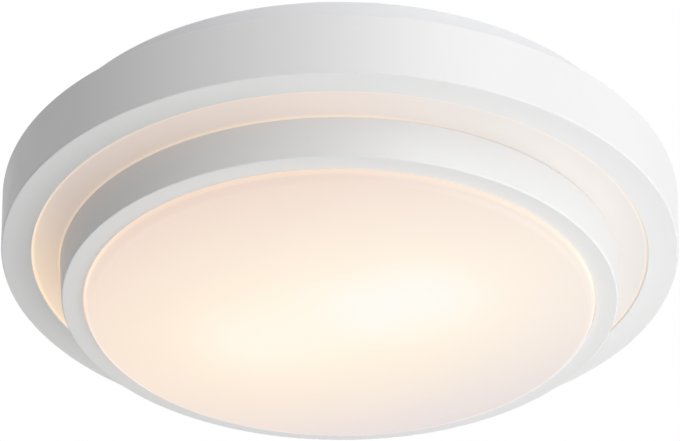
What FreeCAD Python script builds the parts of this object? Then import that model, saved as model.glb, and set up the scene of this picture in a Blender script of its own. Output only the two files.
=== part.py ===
import FreeCAD, Part
import math
import os
import re

import Sketcher

# A round outdoor ceiling light with two screw lamps, hung under a ceiling.
# The ceiling is the plane z = 0, the light hangs below it, and the lamps lie along X.

# Driving sizes in millimetres: name, value, what it measures
SIZES = (
    # Back pan, which stays on the ceiling
    ("pan_inset", 16.5, "distance of the pan's skirt behind the drum's rim"),
    ("pan_reveal", 21.5, "height of the skirt that shows above the drum"),
    ("pan_wall", 2.5, "thickness of the skirt and of its flange"),
    ("pan_floor", 3.0, "thickness of the plate against the ceiling"),
    ("pan_round", 2.0, "rounding of the edge at the ceiling"),
    ("pan_flange", 6.0, "width of the flange at the skirt's foot"),
    ("hook_reach", 2.0, "reach of the skirt's upper edge over the plate"),
    ("hook_sheet", 1.2, "thickness of that edge"),
    ("plate_play", 0.1, "play of the plate in the skirt"),
    ("slot_spacing", 160.0, "distance between the two ceiling screws"),
    ("slot_length", 14.0, "length of each ceiling screw slot"),
    ("slot_radius", 2.75, "half the width of a ceiling screw slot"),
    ("boss_height", 6.0, "height of the screw bosses on the pan's floor"),
    ("boss_radius", 4.0, "radius of the screw bosses"),
    ("pilot_depth", 7.0, "depth of the pilot hole in a boss"),
    # Foam between pan and ceiling, and between pan and cover
    ("gasket_inset", 6.5, "distance of the ceiling gasket from the skirt's outside"),
    ("gasket_width", 9.0, "width of the ceiling gasket"),
    ("gasket_thickness", 1.5, "thickness of the ceiling gasket, pressed"),
    ("gasket_play", 0.2, "play of the gasket in its groove"),
    ("seal_thickness", 3.0, "thickness of the cover seal, pressed"),
    ("seal_width", 7.0, "width of the cover seal"),
    ("seal_inset", 0.5, "distance of the seal from the flange's edge"),
    # Cable entry
    ("cable_radius", 4.0, "radius of the cable bore in the grommet"),
    ("grommet_neck", 10.0, "radius of the grommet's neck in the floor"),
    ("grommet_flange", 13.0, "radius of the grommet's flanges"),
    ("grommet_recess", 1.5, "depth of the back flange's seat"),
    ("grommet_lower", 2.0, "thickness of the lower flange"),
    ("grommet_nose", 4.0, "length of the tapered nose"),
    ("grommet_nose_radius", 7.0, "radius of the nose at its end"),
    ("grommet_play", 0.15, "play of the grommet in the pan"),
    # Drum of the cover
    ("rim_radius", 175.0, "outer radius of the drum at its rim"),
    ("drum_flare", 1.5, "how much wider the drum is at its lip"),
    ("drum_height", 33.0, "height of the drum"),
    ("drum_sheet", 1.2, "thickness of the drum's sheet"),
    ("drum_round", 1.6, "outer rounding of the drum's edges"),
    ("rim_width", 15.5, "width of the flat rim, from the outside"),
    ("lip_width", 7.0, "width of the rolled lip, from the outside"),
    # Opal diffuser
    ("cover_clearance", 1.0, "play of the diffuser in the drum's lip"),
    ("diffuser_wall", 2.5, "wall of the diffuser"),
    ("strip_setback", 0.8, "distance of the strip from the rim's edge"),
    ("strip_drop", 5.6, "fall of the strip towards the riser"),
    ("disc_proud", 5.0, "distance of the disc below the ring's face"),
    ("disc_round", 4.0, "outer rounding of the disc's edge"),
    ("disc_inner_round", 1.5, "inner rounding of the disc's edge"),
    ("disc_clearance", 0.8, "play of the disc in the ring's mouth"),
    # Inner ring
    ("ring_inset", 32.4, "distance of the ring's lower edge behind the drum's rim"),
    ("ring_draft", 2.0, "how much wider the ring is at its upper edge"),
    ("ring_drop", 25.0, "distance of the ring's face below the rim"),
    ("ring_wall", 2.0, "wall of the ring"),
    ("ring_round", 1.0, "outer rounding of the ring's face"),
    ("ring_face", 11.2, "width of the ring's face"),
    ("mouth_round", 0.6, "rounding of the opening in the ring's face"),
    ("ring_clearance", 0.5, "play between the ring and the diffuser"),
    ("ring_screw_count", 6, "number of screws that hold the ring"),
    ("ring_boss_radius", 1.6, "radius of the ring's screw bosses"),
    ("ring_boss_play", 0.3, "play of a boss in the diffuser's hole"),
    ("ring_boss_short", 0.3, "how far a boss stays below the ledge's top"),
    # Tabs that hold the diffuser in the drum
    ("tab_count", 6, "number of tabs"),
    ("tab_width", 10.0, "width of a tab"),
    ("tab_sheet", 1.0, "thickness of a tab"),
    ("tab_leg", 10.0, "length of a tab's leg on the drum's wall"),
    ("tab_reach", 8.6, "length of a tab's finger from the drum's wall"),
    ("tab_play", 0.2, "play between the tabs and the drum's wall"),
    # Spring clips that hold the cover
    ("clip_count", 3, "number of spring clips"),
    ("clip_width", 14.0, "width of a clip"),
    ("clip_sheet", 0.6, "thickness of a clip"),
    ("clip_catch", 3.0, "reach of a clip's crest behind the lip"),
    ("clip_return", 2.5, "reach of a clip's end inside the lip"),
    ("clip_play", 0.5, "play between clip and lip"),
    ("clip_slope", 8.0, "height of a clip's lower slope"),
    ("clip_leg", 10.0, "length of a clip's leg on the skirt"),
    ("rivet_radius", 1.5, "radius of a clip rivet"),
    ("rivet_head", 3.0, "radius of a rivet's heads"),
    ("rivet_head_height", 1.2, "height of a rivet's heads"),
    ("rivet_play", 0.05, "play of a rivet in its hole"),
    # Lamps, measured along X from the light's middle
    ("lamp_air", 3.0, "air between a lamp and the plate"),
    ("bulb_radius", 30.0, "radius of a lamp's dome"),
    ("bulb_length", 108.0, "length of a lamp"),
    ("bulb_wall", 1.5, "wall of a lamp's dome and housing"),
    ("dome_depth", 42.0, "length of a lamp's dome"),
    ("housing_band", 4.0, "length of the housing's straight band"),
    ("housing_neck", 14.2, "radius of the housing at the cap"),
    ("board_thickness", 1.6, "thickness of the lamp's board"),
    ("board_setback", 1.0, "distance of the board behind the dome"),
    ("board_play", 0.2, "play of the board in the housing"),
    ("cap_length", 27.0, "length of a lamp's cap with its contact"),
    ("cap_radius", 13.2, "radius over the cap's thread"),
    ("thread_depth", 0.8, "depth of the cap's thread"),
    ("cap_wall", 1.1, "wall of the cap under its thread"),
    ("thread_pitch", 3.62, "pitch of the lamp thread"),
    ("thread_turns", 5, "ridges of the thread on the cap"),
    ("insulator_length", 3.0, "length of the cap's insulator"),
    ("tip_radius", 4.8, "radius of the lamp's centre contact"),
    ("tip_length", 1.8, "length of the lamp's centre contact"),
    ("tip_play", 0.3, "play round the centre contact"),
    ("cap_play", 0.1, "play of the insulator in the cap"),
    # Lampholders
    ("holder_air", 1.0, "air between a lamp's housing and its holder"),
    ("holder_length", 44.0, "length of a holder"),
    ("holder_radius", 19.5, "radius of a holder at its mouth"),
    ("holder_foot", 15.0, "radius of a holder at its back"),
    ("holder_collar", 2.0, "length of the wide part of a holder's back"),
    ("sleeve_wall", 0.5, "wall of the threaded sleeve"),
    ("sleeve_play", 0.35, "play of the cap in the sleeve"),
    ("sleeve_fit", 0.1, "play of the sleeve in the holder"),
    ("contact_pocket", 8.0, "radius of the contact's pocket"),
    ("contact_depth", 6.4, "depth of that pocket behind the lamp"),
    ("contact_sheet", 0.6, "thickness of the holder's centre contact"),
    ("contact_width", 6.0, "width of the holder's centre contact"),
    ("contact_play", 0.4, "distance between the two contacts"),
    # Brackets
    ("bracket_inset", 8.5, "air between a bracket and the skirt"),
    ("bracket_sheet", 1.5, "thickness of a bracket"),
    ("bracket_width", 30.0, "width of a bracket"),
    ("bracket_foot", 29.0, "length of a bracket's foot"),
    ("bracket_below", 12.0, "length of a bracket's leg below the lamp axis"),
    ("bracket_screw_inset", 9.0, "distance of its screws from the foot's end"),
    ("bracket_screw_spacing", 18.0, "distance between its two screws"),
    ("holder_screw_spacing", 16.0, "distance between a holder's two screws"),
    ("holder_screw_depth", 9.0, "depth of those screws in the holder"),
    # Screws
    ("screw_radius", 1.5, "radius of the bracket and holder screws"),
    ("screw_head", 2.8, "radius of their heads"),
    ("screw_head_height", 2.0, "height of their heads"),
    ("screw_play", 0.2, "play of a screw in a clearance hole"),
    ("thread_play", 0.05, "play of a screw in its pilot hole"),
    ("small_screw_radius", 0.8, "radius of the ring's screws"),
    ("small_screw_head", 2.2, "radius of their heads"),
    ("small_screw_height", 1.6, "height of their heads"),
    ("small_screw_length", 3.0, "length of their shanks"),
    ("drive_radius", 0.7, "half the size of the screws' drive recess"),
    ("drive_depth", 0.9, "depth of the screws' drive recess"),
    # Terminal block
    ("block_offset", 48.0, "distance of the block from the middle, along Y"),
    ("block_length", 28.0, "length of the block, along X"),
    ("block_width", 22.0, "width of the block, along Y"),
    ("block_height", 14.0, "height of the block"),
    ("pole_spacing", 11.0, "distance between the block's two poles"),
    ("pole_depth", 6.0, "depth of the poles below the block's top"),
    ("insert_radius", 2.9, "radius of a pole's brass insert"),
    ("insert_bore", 2.0, "bore of a pole's brass insert"),
    ("insert_play", 0.1, "play of an insert in the block"),
    ("clamp_inset", 6.0, "distance of the clamp screws from the block's ends"),
    ("clamp_radius", 1.5, "radius of a clamp screw"),
    ("clamp_recess", 1.0, "depth of a clamp screw's end in the block"),
    # Internal wires
    ("wire_radius", 0.9, "radius of an internal wire"),
    ("wire_play", 0.3, "play of a wire in the holder"),
    ("wire_inset", 5.0, "length of a wire's end in the block"),
    ("wire_sink", 8.0, "distance of a wire's end from the lamp axis"),
    ("wire_entry", 8.0, "distance of the wire holes from a holder's back"),
    ("wire_spread", 10.0, "distance between a holder's two wire holes"),
    ("wire_low", 1.0, "distance of a wire below its insert's middle"),
    ("wire_lead", 17.0, "length of a wire's straight start at the block"),
    ("wire_tail", 12.0, "length of a wire's straight end at the holder"),
)

# Sizes that follow from the driving ones: name, formula, what it measures
FOLLOWING_SIZES = (
    ("drum_top_radius", "rim_radius + drum_flare", "outer radius of the drum at its lip"),
    ("pan_radius", "rim_radius - pan_inset", "outer radius of the pan's skirt"),
    ("gasket_radius", "pan_radius - gasket_inset", "outer radius of the ceiling gasket"),
    ("ring_radius", "rim_radius - ring_inset", "outer radius of the ring at its face"),
    ("ring_mouth", "ring_radius - ring_face", "radius of the opening in the ring's face"),
    ("lamp_depth", "pan_floor + lamp_air + bulb_radius", "depth of the lamps' axis below the ceiling"),
    ("holder_depth", "cap_length - holder_air", "depth of a lamp in its holder"),
    ("clamp_spacing", "block_length - 2 * clamp_inset", "distance between the clamp screws of a pole"),
    ("holder_back", "pan_radius - pan_wall - bracket_inset - bracket_sheet", "place of a holder's back"),
    ("lamp_end", "holder_back - holder_length + holder_depth", "place of a lamp's contact"),
    ("lamp_tip", "lamp_end - bulb_length", "distance of a lamp's tip from the middle"),
    ("cap_root", "cap_radius - thread_depth", "radius at the root of the cap's thread"),
)

# Levels and radii that follow from the driving sizes
DRUM_TOP = "(-pan_reveal)"
LIP_LOW = f"({DRUM_TOP} - drum_sheet)"
LIP_INNER = "(drum_top_radius - lip_width)"
RIM_LEVEL = f"({DRUM_TOP} - drum_height)"
RIM_INNER = "(rim_radius - rim_width)"
FLANGE_LOW = f"({RIM_LEVEL} + drum_sheet)"
FLANGE_TOP = f"({FLANGE_LOW} + diffuser_wall)"
FLANGE_RADIUS = f"({LIP_INNER} - cover_clearance)"
PAN_LOW = f"({FLANGE_TOP} + seal_thickness)"
PAN_INNER = "(pan_radius - pan_wall)"
SEAL_RADIUS = "(pan_radius + pan_flange - seal_inset)"
BOSS_LOW = "(-pan_floor - boss_height)"
STRIP_START = f"({RIM_INNER} - strip_setback)"
RISER_TOP = "(ring_radius + ring_draft - ring_wall - ring_clearance)"
RISER_FOOT = "(ring_radius - ring_wall - ring_clearance)"
RING_LOW = f"({RIM_LEVEL} - ring_drop)"
LEDGE_LOW = f"({RING_LOW} + ring_wall)"
LEDGE_TOP = f"({LEDGE_LOW} + diffuser_wall)"
DISC_LOW = f"({RING_LOW} - disc_proud)"
DISC_RADIUS = "(ring_mouth - disc_clearance)"
RING_SCREW_CIRCLE = f"(({DISC_RADIUS} + {RISER_FOOT} - diffuser_wall) / 2)"
LAMP_LEVEL = "(-lamp_depth)"
DOME_END = "(lamp_tip + dome_depth)"
DOME_END_RADIUS = "(sqrt(bulb_radius^2 - (dome_depth - bulb_radius)^2))"
DOME_INNER = "(bulb_radius - bulb_wall)"
DOME_END_INNER = f"(sqrt({DOME_INNER}^2 - (dome_depth - bulb_radius)^2))"
CAP_START = "(lamp_end - cap_length)"
CAP_END = "(lamp_end - tip_length - 0.5 * insulator_length)"
CAP_BORE = "(cap_root - cap_wall)"
SLEEVE_BORE = "(cap_radius + sleeve_play)"
HOLDER_BORE = f"({SLEEVE_BORE} + sleeve_wall + sleeve_fit)"
HOLDER_MOUTH = "(lamp_end - holder_depth)"
POCKET_FLOOR = "(lamp_end + contact_depth)"
BRACKET_SCREW = "(holder_back + bracket_sheet - bracket_foot + bracket_screw_inset)"
WIRE_HOLE = "(holder_back - wire_entry)"
BLOCK_LOW = f"({BOSS_LOW} - block_height)"
POLE_LEVEL = f"({BOSS_LOW} - pole_depth)"
RING_BOSS_TOP = f"({LEDGE_TOP} - ring_boss_short)"

# Spring clips: a leg on the skirt, a lower slope out to a crest and an upper slope under the lip
CREST_RADIUS = f"({LIP_INNER} + clip_catch)"
CREST_LEVEL = f"({LIP_LOW} - clip_play - clip_catch)"
LEG_TOP = f"({CREST_LEVEL} - clip_slope)"
RIVET_LEVEL = f"({LEG_TOP} - clip_leg / 2)"

# The tabs stand between the spring clips, in degrees
TAB_TURN = 30

# Routes of the internal wires, as shares of the way from the block's pole to the holder along X, Y and Z
UPPER_ROUTE = ((0.30, -0.20, -0.17), (0.63, -0.33, 0.00), (0.86, -0.15, 0.57), (0.98, 0.42, 0.97))
LOWER_ROUTE = ((0.30, -0.10, -0.10), (0.64, -0.19, 0.06), (0.90, -0.01, 0.50), (1.01, 0.46, 0.92))

# Share of the shorter run that a wire's bend takes, and how exact its volume has to be
BEND_SHARE = 0.45
VOLUME_TOLERANCE = 0.01

# How far a cut runs past the face where it leaves
PAST = "1"

NO_SHIFT = ("0", "0", "0")
FULL_TURN = 360
SMALLEST_CHANGE = 0.01

doc = FreeCAD.newDocument("CeilingLight")
sheet = doc.addObject("Spreadsheet::Sheet", "Sizes")
following_cells = tuple((name, f"={text}", meaning) for name, text, meaning in FOLLOWING_SIZES)
for row, (name, size, meaning) in enumerate(SIZES + following_cells, 1):
    sheet.set(f"A{row}", name)
    sheet.setAlias(f"B{row}", name)
    sheet.set(f"B{row}", str(size))
    sheet.set(f"C{row}", meaning)
doc.recompute()

size_names = {name for name, size, meaning in SIZES + FOLLOWING_SIZES}
nodes = []


def formula(text):
    """Write a formula with its size names as references to the sheet."""
    return re.sub(r"[a-z_]+", lambda word: f"Sizes.{word[0]}" if word[0] in size_names else word[0], text)


def measure(text):
    """Work out a formula as a number."""
    return float(sheet.evalExpression(formula(text)))


def new_body(label, turned_round=False):
    """Start a sub-part; one that is turned round lies on the other side of the middle."""
    body = doc.addObject("PartDesign::Body", label)
    body.Label = label
    half_turn = 180 if turned_round else 0
    body.Placement = FreeCAD.Placement(
        FreeCAD.Vector(0, 0, 0), FreeCAD.Rotation(FreeCAD.Vector(0, 0, 1), half_turn)
    )
    nodes.append(body)
    return body


def origin_feature(body, role):
    """Find one of a body's own planes or axes."""
    return next(feature for feature in body.Origin.OriginFeatures if feature.Role == role)


def new_sketch(body, name, plane, shift):
    """Put a sketch on one of the body's planes, shifted across, up and out of that plane."""
    sketch = body.newObject("Sketcher::SketchObject", name)
    sketch.AttachmentSupport = [(origin_feature(body, plane), "")]
    sketch.MapMode = "FlatFace"
    for direction, text in zip("xyz", shift):
        sketch.setExpression(f"AttachmentOffset.Base.{direction}", formula(text))
    return sketch


def arc_between(start, end, radius, left):
    """Make the arc from start to end that bends to the left or to the right."""
    middle = (start + end) / 2
    chord = end - start
    rise = math.sqrt(max(radius ** 2 - (chord.Length / 2) ** 2, 0))
    across = FreeCAD.Vector(-chord.y, chord.x, 0).normalize()
    centre = middle + across * (rise if left else -rise)
    first = math.atan2(start.y - centre.y, start.x - centre.x)
    last = math.atan2(end.y - centre.y, end.x - centre.x)
    circle = Part.Circle(centre, FreeCAD.Vector(0, 0, 1), radius)
    if left:
        return Part.ArcOfCircle(circle, first, last)
    return Part.ArcOfCircle(circle, last, first)


def fix_point(sketch, geometry, position, across, up):
    """Tie a point of a sketch to two formulas, or to the sketch's axes where they are zero."""
    for kind, text, axis in (("DistanceX", across, -2), ("DistanceY", up, -1)):
        if text == "0":
            sketch.addConstraint(Sketcher.Constraint("PointOnObject", geometry, position, axis))
        else:
            index = sketch.addConstraint(Sketcher.Constraint(kind, geometry, position, measure(text)))
            sketch.setExpression(f"Constraints[{index}]", formula(text))


def draw_outline(sketch, outline):
    """Draw a closed outline.

    Each corner is (across, up), or (across, up, radius, side) where an arc that bends to that
    side leads to the next corner.
    """
    corners = [FreeCAD.Vector(measure(corner[0]), measure(corner[1]), 0) for corner in outline]
    ends = []
    for index, corner in enumerate(outline):
        start = corners[index]
        end = corners[(index + 1) % len(corners)]
        if len(corner) == 2:
            geometry = sketch.addGeometry(Part.LineSegment(start, end), False)
            ends.append((geometry, 1, 2))
            continue
        left = corner[3] == "left"
        geometry = sketch.addGeometry(arc_between(start, end, measure(corner[2]), left), False)
        ends.append((geometry, 1, 2) if left else (geometry, 2, 1))
    for index, (geometry, first, last) in enumerate(ends):
        following, following_first, following_last = ends[(index + 1) % len(ends)]
        sketch.addConstraint(Sketcher.Constraint("Coincident", geometry, last, following, following_first))
    for (geometry, first, last), corner in zip(ends, outline):
        fix_point(sketch, geometry, first, corner[0], corner[1])
        if len(corner) > 2:
            index = sketch.addConstraint(Sketcher.Constraint("Radius", geometry, measure(corner[2])))
            sketch.setExpression(f"Constraints[{index}]", formula(corner[2]))


def settle(body, feature, before):
    """Rebuild after a feature, and make sure that it changed the body."""
    body.Tip = feature
    doc.recompute()
    if abs(body.Shape.Volume - before) < SMALLEST_CHANGE:
        raise RuntimeError(f"{body.Label}: {feature.Name} changed nothing")
    return feature


def volume_of(body):
    """Volume of a body so far."""
    return 0.0 if body.Tip is None else body.Shape.Volume


def turn(body, name, outline, axis="V_Axis", shift=NO_SHIFT, cut=False):
    """Turn an outline of the XZ plane about an axis of its sketch, as metal or as a cut."""
    before = volume_of(body)
    sketch = new_sketch(body, f"{body.Label}_{name}_outline", "XZ_Plane", shift)
    draw_outline(sketch, outline)
    kind = "PartDesign::Groove" if cut else "PartDesign::Revolution"
    feature = body.newObject(kind, f"{body.Label}_{name}")
    feature.Profile = sketch
    feature.ReferenceAxis = (sketch, [axis])
    feature.Angle = FULL_TURN
    return settle(body, feature, before)


def extrude(body, name, outline, width, plane="XZ_Plane", shift=NO_SHIFT, cut=False):
    """Extrude an outline to both sides of its plane, as metal or as a cut."""
    before = volume_of(body)
    sketch = new_sketch(body, f"{body.Label}_{name}_outline", plane, shift)
    draw_outline(sketch, outline)
    feature = body.newObject("PartDesign::Pocket" if cut else "PartDesign::Pad", f"{body.Label}_{name}")
    feature.Profile = sketch
    feature.SideType = "Symmetric"
    feature.setExpression("Length", formula(width))
    return settle(body, feature, before)


def repeat_round(body, name, feature, count):
    """Repeat a feature evenly round the light's upright axis."""
    before = volume_of(body)
    pattern = body.newObject("PartDesign::PolarPattern", f"{body.Label}_{name}")
    pattern.Originals = [feature]
    pattern.Axis = (origin_feature(body, "Z_Axis"), [""])
    pattern.Angle = FULL_TURN
    pattern.setExpression("Occurrences", formula(count))
    return settle(body, pattern, before)


def rectangle(inner, outer, low, high):
    """Outline of a rectangle between two distances across and two heights."""
    return [(inner, low), (outer, low), (outer, high), (inner, high)]


def bar(radius, low, high):
    """Outline of half a round bar that stands on the sketch's upright axis."""
    return rectangle("0", radius, low, high)


def lying_bar(radius, near, far):
    """Outline of half a round bar that lies on the sketch's level axis."""
    return [(near, "0"), (far, "0"), (far, radius), (near, radius)]


def circle(radius):
    """Outline of a circle round the sketch's middle, in four quarters."""
    corners = [(radius, "0"), ("0", radius), (f"-{radius}", "0"), ("0", f"-{radius}")]
    return [(across, up, radius, "left") for across, up in corners]


def upright_screw(body, name, shift, head_level, shank_top, sizes):
    """Screw that points up, with its head below head_level and a drive recess in the head."""
    radius, head, head_height = sizes
    outline = [
        ("0", f"{head_level} - {head_height} + drive_depth"),
        ("drive_radius", f"{head_level} - {head_height} + drive_depth"),
        ("drive_radius", f"{head_level} - {head_height}"),
        (head, f"{head_level} - {head_height}"),
        (head, head_level),
        (radius, head_level),
        (radius, shank_top),
        ("0", shank_top),
    ]
    return turn(body, name, outline, shift=shift)


def bracket_screw_places():
    """Places of the two screws of a bracket, as shifts of a sketch."""
    return [(BRACKET_SCREW, "0", f"{side} * bracket_screw_spacing / 2") for side in ("-1", "1")]


def boss_places():
    """Places of the pan's bosses: under both brackets and under the terminal block."""
    places = [("0", "0", "-block_offset")]
    for side in ("1", "-1"):
        for across, up, out in bracket_screw_places():
            places.append((f"{side} * {across}", up, out))
    return places


def make_base_plate():
    """Floor of the pan, a round plate against the ceiling with its bosses, slots and holes."""
    body = new_body("base_plate")
    edge = f"({PAN_INNER} - plate_play)"
    turn(body, "plate", [
        ("0", "0"),
        ("0", "-pan_floor"),
        (edge, "-pan_floor"),
        (edge, "-hook_sheet"),
        (f"{edge} - hook_reach", "-hook_sheet"),
        (f"{edge} - hook_reach", "0"),
    ])
    for index, place in enumerate(boss_places()):
        turn(body, f"boss_{index}", bar("boss_radius", BOSS_LOW, "-pan_floor / 2"), shift=place)
        hole = bar("screw_radius + thread_play", BOSS_LOW, f"{BOSS_LOW} + pilot_depth")
        turn(body, f"pilot_{index}", hole, shift=place, cut=True)
    groove_outer = "gasket_radius + gasket_play"
    groove_inner = "gasket_radius - gasket_width - gasket_play"
    groove = rectangle(groove_inner, groove_outer, "-gasket_thickness", "0")
    turn(body, "gasket_groove", groove, cut=True)
    turn(body, "cable_hole", [
        ("0", "0"),
        ("0", "-pan_floor"),
        ("grommet_neck + grommet_play", "-pan_floor"),
        ("grommet_neck + grommet_play", "-grommet_recess"),
        ("grommet_flange + grommet_play", "-grommet_recess"),
        ("grommet_flange + grommet_play", "0"),
    ], cut=True)
    straight = "(slot_length / 2 - slot_radius)"
    for name, side in (("front_slot", "-1"), ("rear_slot", "1")):
        slot = [
            ("slot_radius", f"-{straight}"),
            ("slot_radius", straight, "slot_radius", "left"),
            ("0", "slot_length / 2", "slot_radius", "left"),
            ("-slot_radius", straight),
            ("-slot_radius", f"-{straight}", "slot_radius", "left"),
            ("0", "-slot_length / 2", "slot_radius", "left"),
        ]
        place = ("0", f"{side} * slot_spacing / 2", "0")
        extrude(body, name, slot, f"2 * (pan_floor + {PAST})", plane="XY_Plane", shift=place, cut=True)


def make_pan_skirt():
    """Wall of the pan, which the plate holds against the ceiling by its upper edge."""
    body = new_body("pan_skirt")
    turn(body, "skirt", [
        (f"{PAN_INNER} - hook_reach", "0"),
        (f"{PAN_INNER} - hook_reach", "-hook_sheet"),
        (PAN_INNER, "-hook_sheet"),
        (PAN_INNER, PAN_LOW),
        ("pan_radius + pan_flange", PAN_LOW),
        ("pan_radius + pan_flange", f"{PAN_LOW} + pan_wall"),
        ("pan_radius", f"{PAN_LOW} + pan_wall"),
        ("pan_radius", "-pan_round", "pan_round", "left"),
        ("pan_radius - pan_round", "0"),
    ])
    hole = lying_bar("rivet_radius + rivet_play", f"{PAN_INNER} - pan_wall", "pan_radius + pan_wall")
    rivet_hole = turn(body, "rivet_hole", hole, axis="H_Axis", shift=("0", RIVET_LEVEL, "0"), cut=True)
    repeat_round(body, "rivet_holes", rivet_hole, "clip_count")


def make_ceiling_gasket():
    """Foam ring in the groove on the pan's back."""
    body = new_body("ceiling_gasket")
    turn(body, "ring", rectangle("gasket_radius - gasket_width", "gasket_radius", "-gasket_thickness", "0"))


def make_cover_seal():
    """Foam ring under the pan's flange, on which the diffuser presses."""
    body = new_body("cover_seal")
    turn(body, "ring", rectangle(f"{SEAL_RADIUS} - seal_width", SEAL_RADIUS, FLANGE_TOP, PAN_LOW))


def make_cable_grommet():
    """Rubber grommet in the pan's centre hole."""
    body = new_body("cable_grommet")
    lower = "(-pan_floor - grommet_lower)"
    turn(body, "sleeve", [
        ("cable_radius", "0"),
        ("cable_radius", f"{lower} - grommet_nose"),
        ("grommet_nose_radius", f"{lower} - grommet_nose"),
        ("grommet_flange", lower),
        ("grommet_flange", "-pan_floor"),
        ("grommet_neck", "-pan_floor"),
        ("grommet_neck", "-grommet_recess"),
        ("grommet_flange", "-grommet_recess"),
        ("grommet_flange", "0"),
    ])


def make_spring_clips():
    """Leaf springs on the skirt that the drum's lip snaps over."""
    body = new_body("spring_clips")
    leaf = extrude(body, "leaf", [
        ("pan_radius", f"{LEG_TOP} - clip_leg"),
        ("pan_radius + clip_sheet", f"{LEG_TOP} - clip_leg"),
        ("pan_radius + clip_sheet", LEG_TOP),
        (CREST_RADIUS, CREST_LEVEL),
        (f"{LIP_INNER} - clip_return", f"{LIP_LOW} - clip_play + clip_return"),
        (f"{LIP_INNER} - clip_return - clip_sheet", f"{LIP_LOW} - clip_play + clip_return - clip_sheet"),
        (f"{CREST_RADIUS} - 2 * clip_sheet", CREST_LEVEL),
        ("pan_radius", f"{LEG_TOP} + clip_sheet"),
    ], "clip_width")
    repeat_round(body, "leaves", leaf, "clip_count")
    hole = lying_bar("rivet_radius + rivet_play", "pan_radius - pan_wall", "pan_radius + pan_wall")
    rivet_hole = turn(body, "rivet_hole", hole, axis="H_Axis", shift=("0", RIVET_LEVEL, "0"), cut=True)
    repeat_round(body, "rivet_holes", rivet_hole, "clip_count")


def make_clip_rivets():
    """Rivets that hold the spring clips on the skirt."""
    body = new_body("clip_rivets")
    inside = f"({PAN_INNER} - rivet_play)"
    outside = "(pan_radius + clip_sheet + rivet_play)"
    rivet = turn(body, "rivet", [
        (f"{inside} - rivet_head_height", "0"),
        (f"{outside} + rivet_head_height", "0"),
        (f"{outside} + rivet_head_height", "rivet_radius"),
        (outside, "rivet_head"),
        (outside, "rivet_radius"),
        (inside, "rivet_radius"),
        (inside, "rivet_head"),
        (f"{inside} - rivet_head_height", "rivet_radius"),
    ], axis="H_Axis", shift=("0", RIVET_LEVEL, "0"))
    repeat_round(body, "rivets", rivet, "clip_count")


def make_terminal_block():
    """Insulating block with two through poles, on a boss of the pan."""
    body = new_body("terminal_block")
    place = ("0", "0", "-block_offset")
    outline = rectangle("-block_length / 2", "block_length / 2", BLOCK_LOW, BOSS_LOW)
    extrude(body, "block", outline, "block_width", shift=place)
    screw_hole = bar("screw_radius + screw_play", f"{BLOCK_LOW} - {PAST}", f"{BOSS_LOW} + {PAST}")
    turn(body, "screw_hole", screw_hole, shift=place, cut=True)
    head_seat = bar("screw_head + screw_play", f"{BLOCK_LOW} - {PAST}", f"{BLOCK_LOW} + screw_head_height")
    turn(body, "head_seat", head_seat, shift=place, cut=True)
    for index, out in enumerate(pole_offsets()):
        channel = lying_bar("insert_radius + insert_play", "-block_length", "block_length")
        turn(body, f"channel_{index}", channel, axis="H_Axis", shift=("0", POLE_LEVEL, out), cut=True)
        for side in ("-1", "1"):
            name = f"clamp_hole_{index}_{'near' if side == '1' else 'far'}"
            across = f"{side} * clamp_spacing / 2"
            well = bar("clamp_radius + screw_play", f"{BLOCK_LOW} - {PAST}", POLE_LEVEL)
            turn(body, name, well, shift=(across, "0", out), cut=True)


def pole_offsets():
    """Offsets of the block's two poles out of the XZ plane."""
    return [f"-block_offset {sign} pole_spacing / 2" for sign in ("+", "-")]


def make_terminal_inserts():
    """Brass tubes in the block's two poles."""
    body = new_body("terminal_inserts")
    for index, out in enumerate(pole_offsets()):
        tube = rectangle("-block_length / 2 + clamp_recess", "block_length / 2 - clamp_recess",
                         "insert_bore", "insert_radius")
        turn(body, f"tube_{index}", tube, axis="H_Axis", shift=("0", POLE_LEVEL, out))
        for side in ("-1", "1"):
            name = f"thread_{index}_{'near' if side == '1' else 'far'}"
            across = f"{side} * clamp_spacing / 2"
            well = bar("clamp_radius + thread_play", BLOCK_LOW, POLE_LEVEL)
            turn(body, name, well, shift=(across, "0", out), cut=True)


def make_terminal_screws():
    """Clamp screws of the two poles."""
    body = new_body("terminal_screws")
    tip = f"({POLE_LEVEL} - wire_low - wire_radius - thread_play)"
    for index, out in enumerate(pole_offsets()):
        for side in ("-1", "1"):
            name = f"screw_{index}_{'near' if side == '1' else 'far'}"
            across = f"{side} * clamp_spacing / 2"
            outline = [
                ("0", f"{BLOCK_LOW} + clamp_recess + drive_depth"),
                ("drive_radius", f"{BLOCK_LOW} + clamp_recess + drive_depth"),
                ("drive_radius", f"{BLOCK_LOW} + clamp_recess"),
                ("clamp_radius", f"{BLOCK_LOW} + clamp_recess"),
                ("clamp_radius", tip),
                ("0", tip),
            ]
            turn(body, name, outline, shift=(across, "0", out))


def make_terminal_fixing_screw():
    """Screw through the terminal block into its boss."""
    body = new_body("terminal_fixing_screw")
    head_level = f"({BLOCK_LOW} + screw_head_height)"
    shank_top = f"{BOSS_LOW} + pilot_depth - thread_play"
    sizes = ("screw_radius", "screw_head", "screw_head_height")
    upright_screw(body, "screw", ("0", "0", "-block_offset"), head_level, shank_top, sizes)


def make_bracket_screws():
    """Screws of both brackets, in the pan's bosses."""
    body = new_body("bracket_screws")
    head_level = f"({BOSS_LOW} - bracket_sheet)"
    shank_top = f"{BOSS_LOW} + pilot_depth - thread_play"
    sizes = ("screw_radius", "screw_head", "screw_head_height")
    for index, place in enumerate(boss_places()[1:]):
        upright_screw(body, f"screw_{index}", place, head_level, shank_top, sizes)


def holder_screw_places():
    """Places of a holder's two screws, which lie along the lamp."""
    return [("0", LAMP_LEVEL, f"{side} * holder_screw_spacing / 2") for side in ("-1", "1")]


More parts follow.
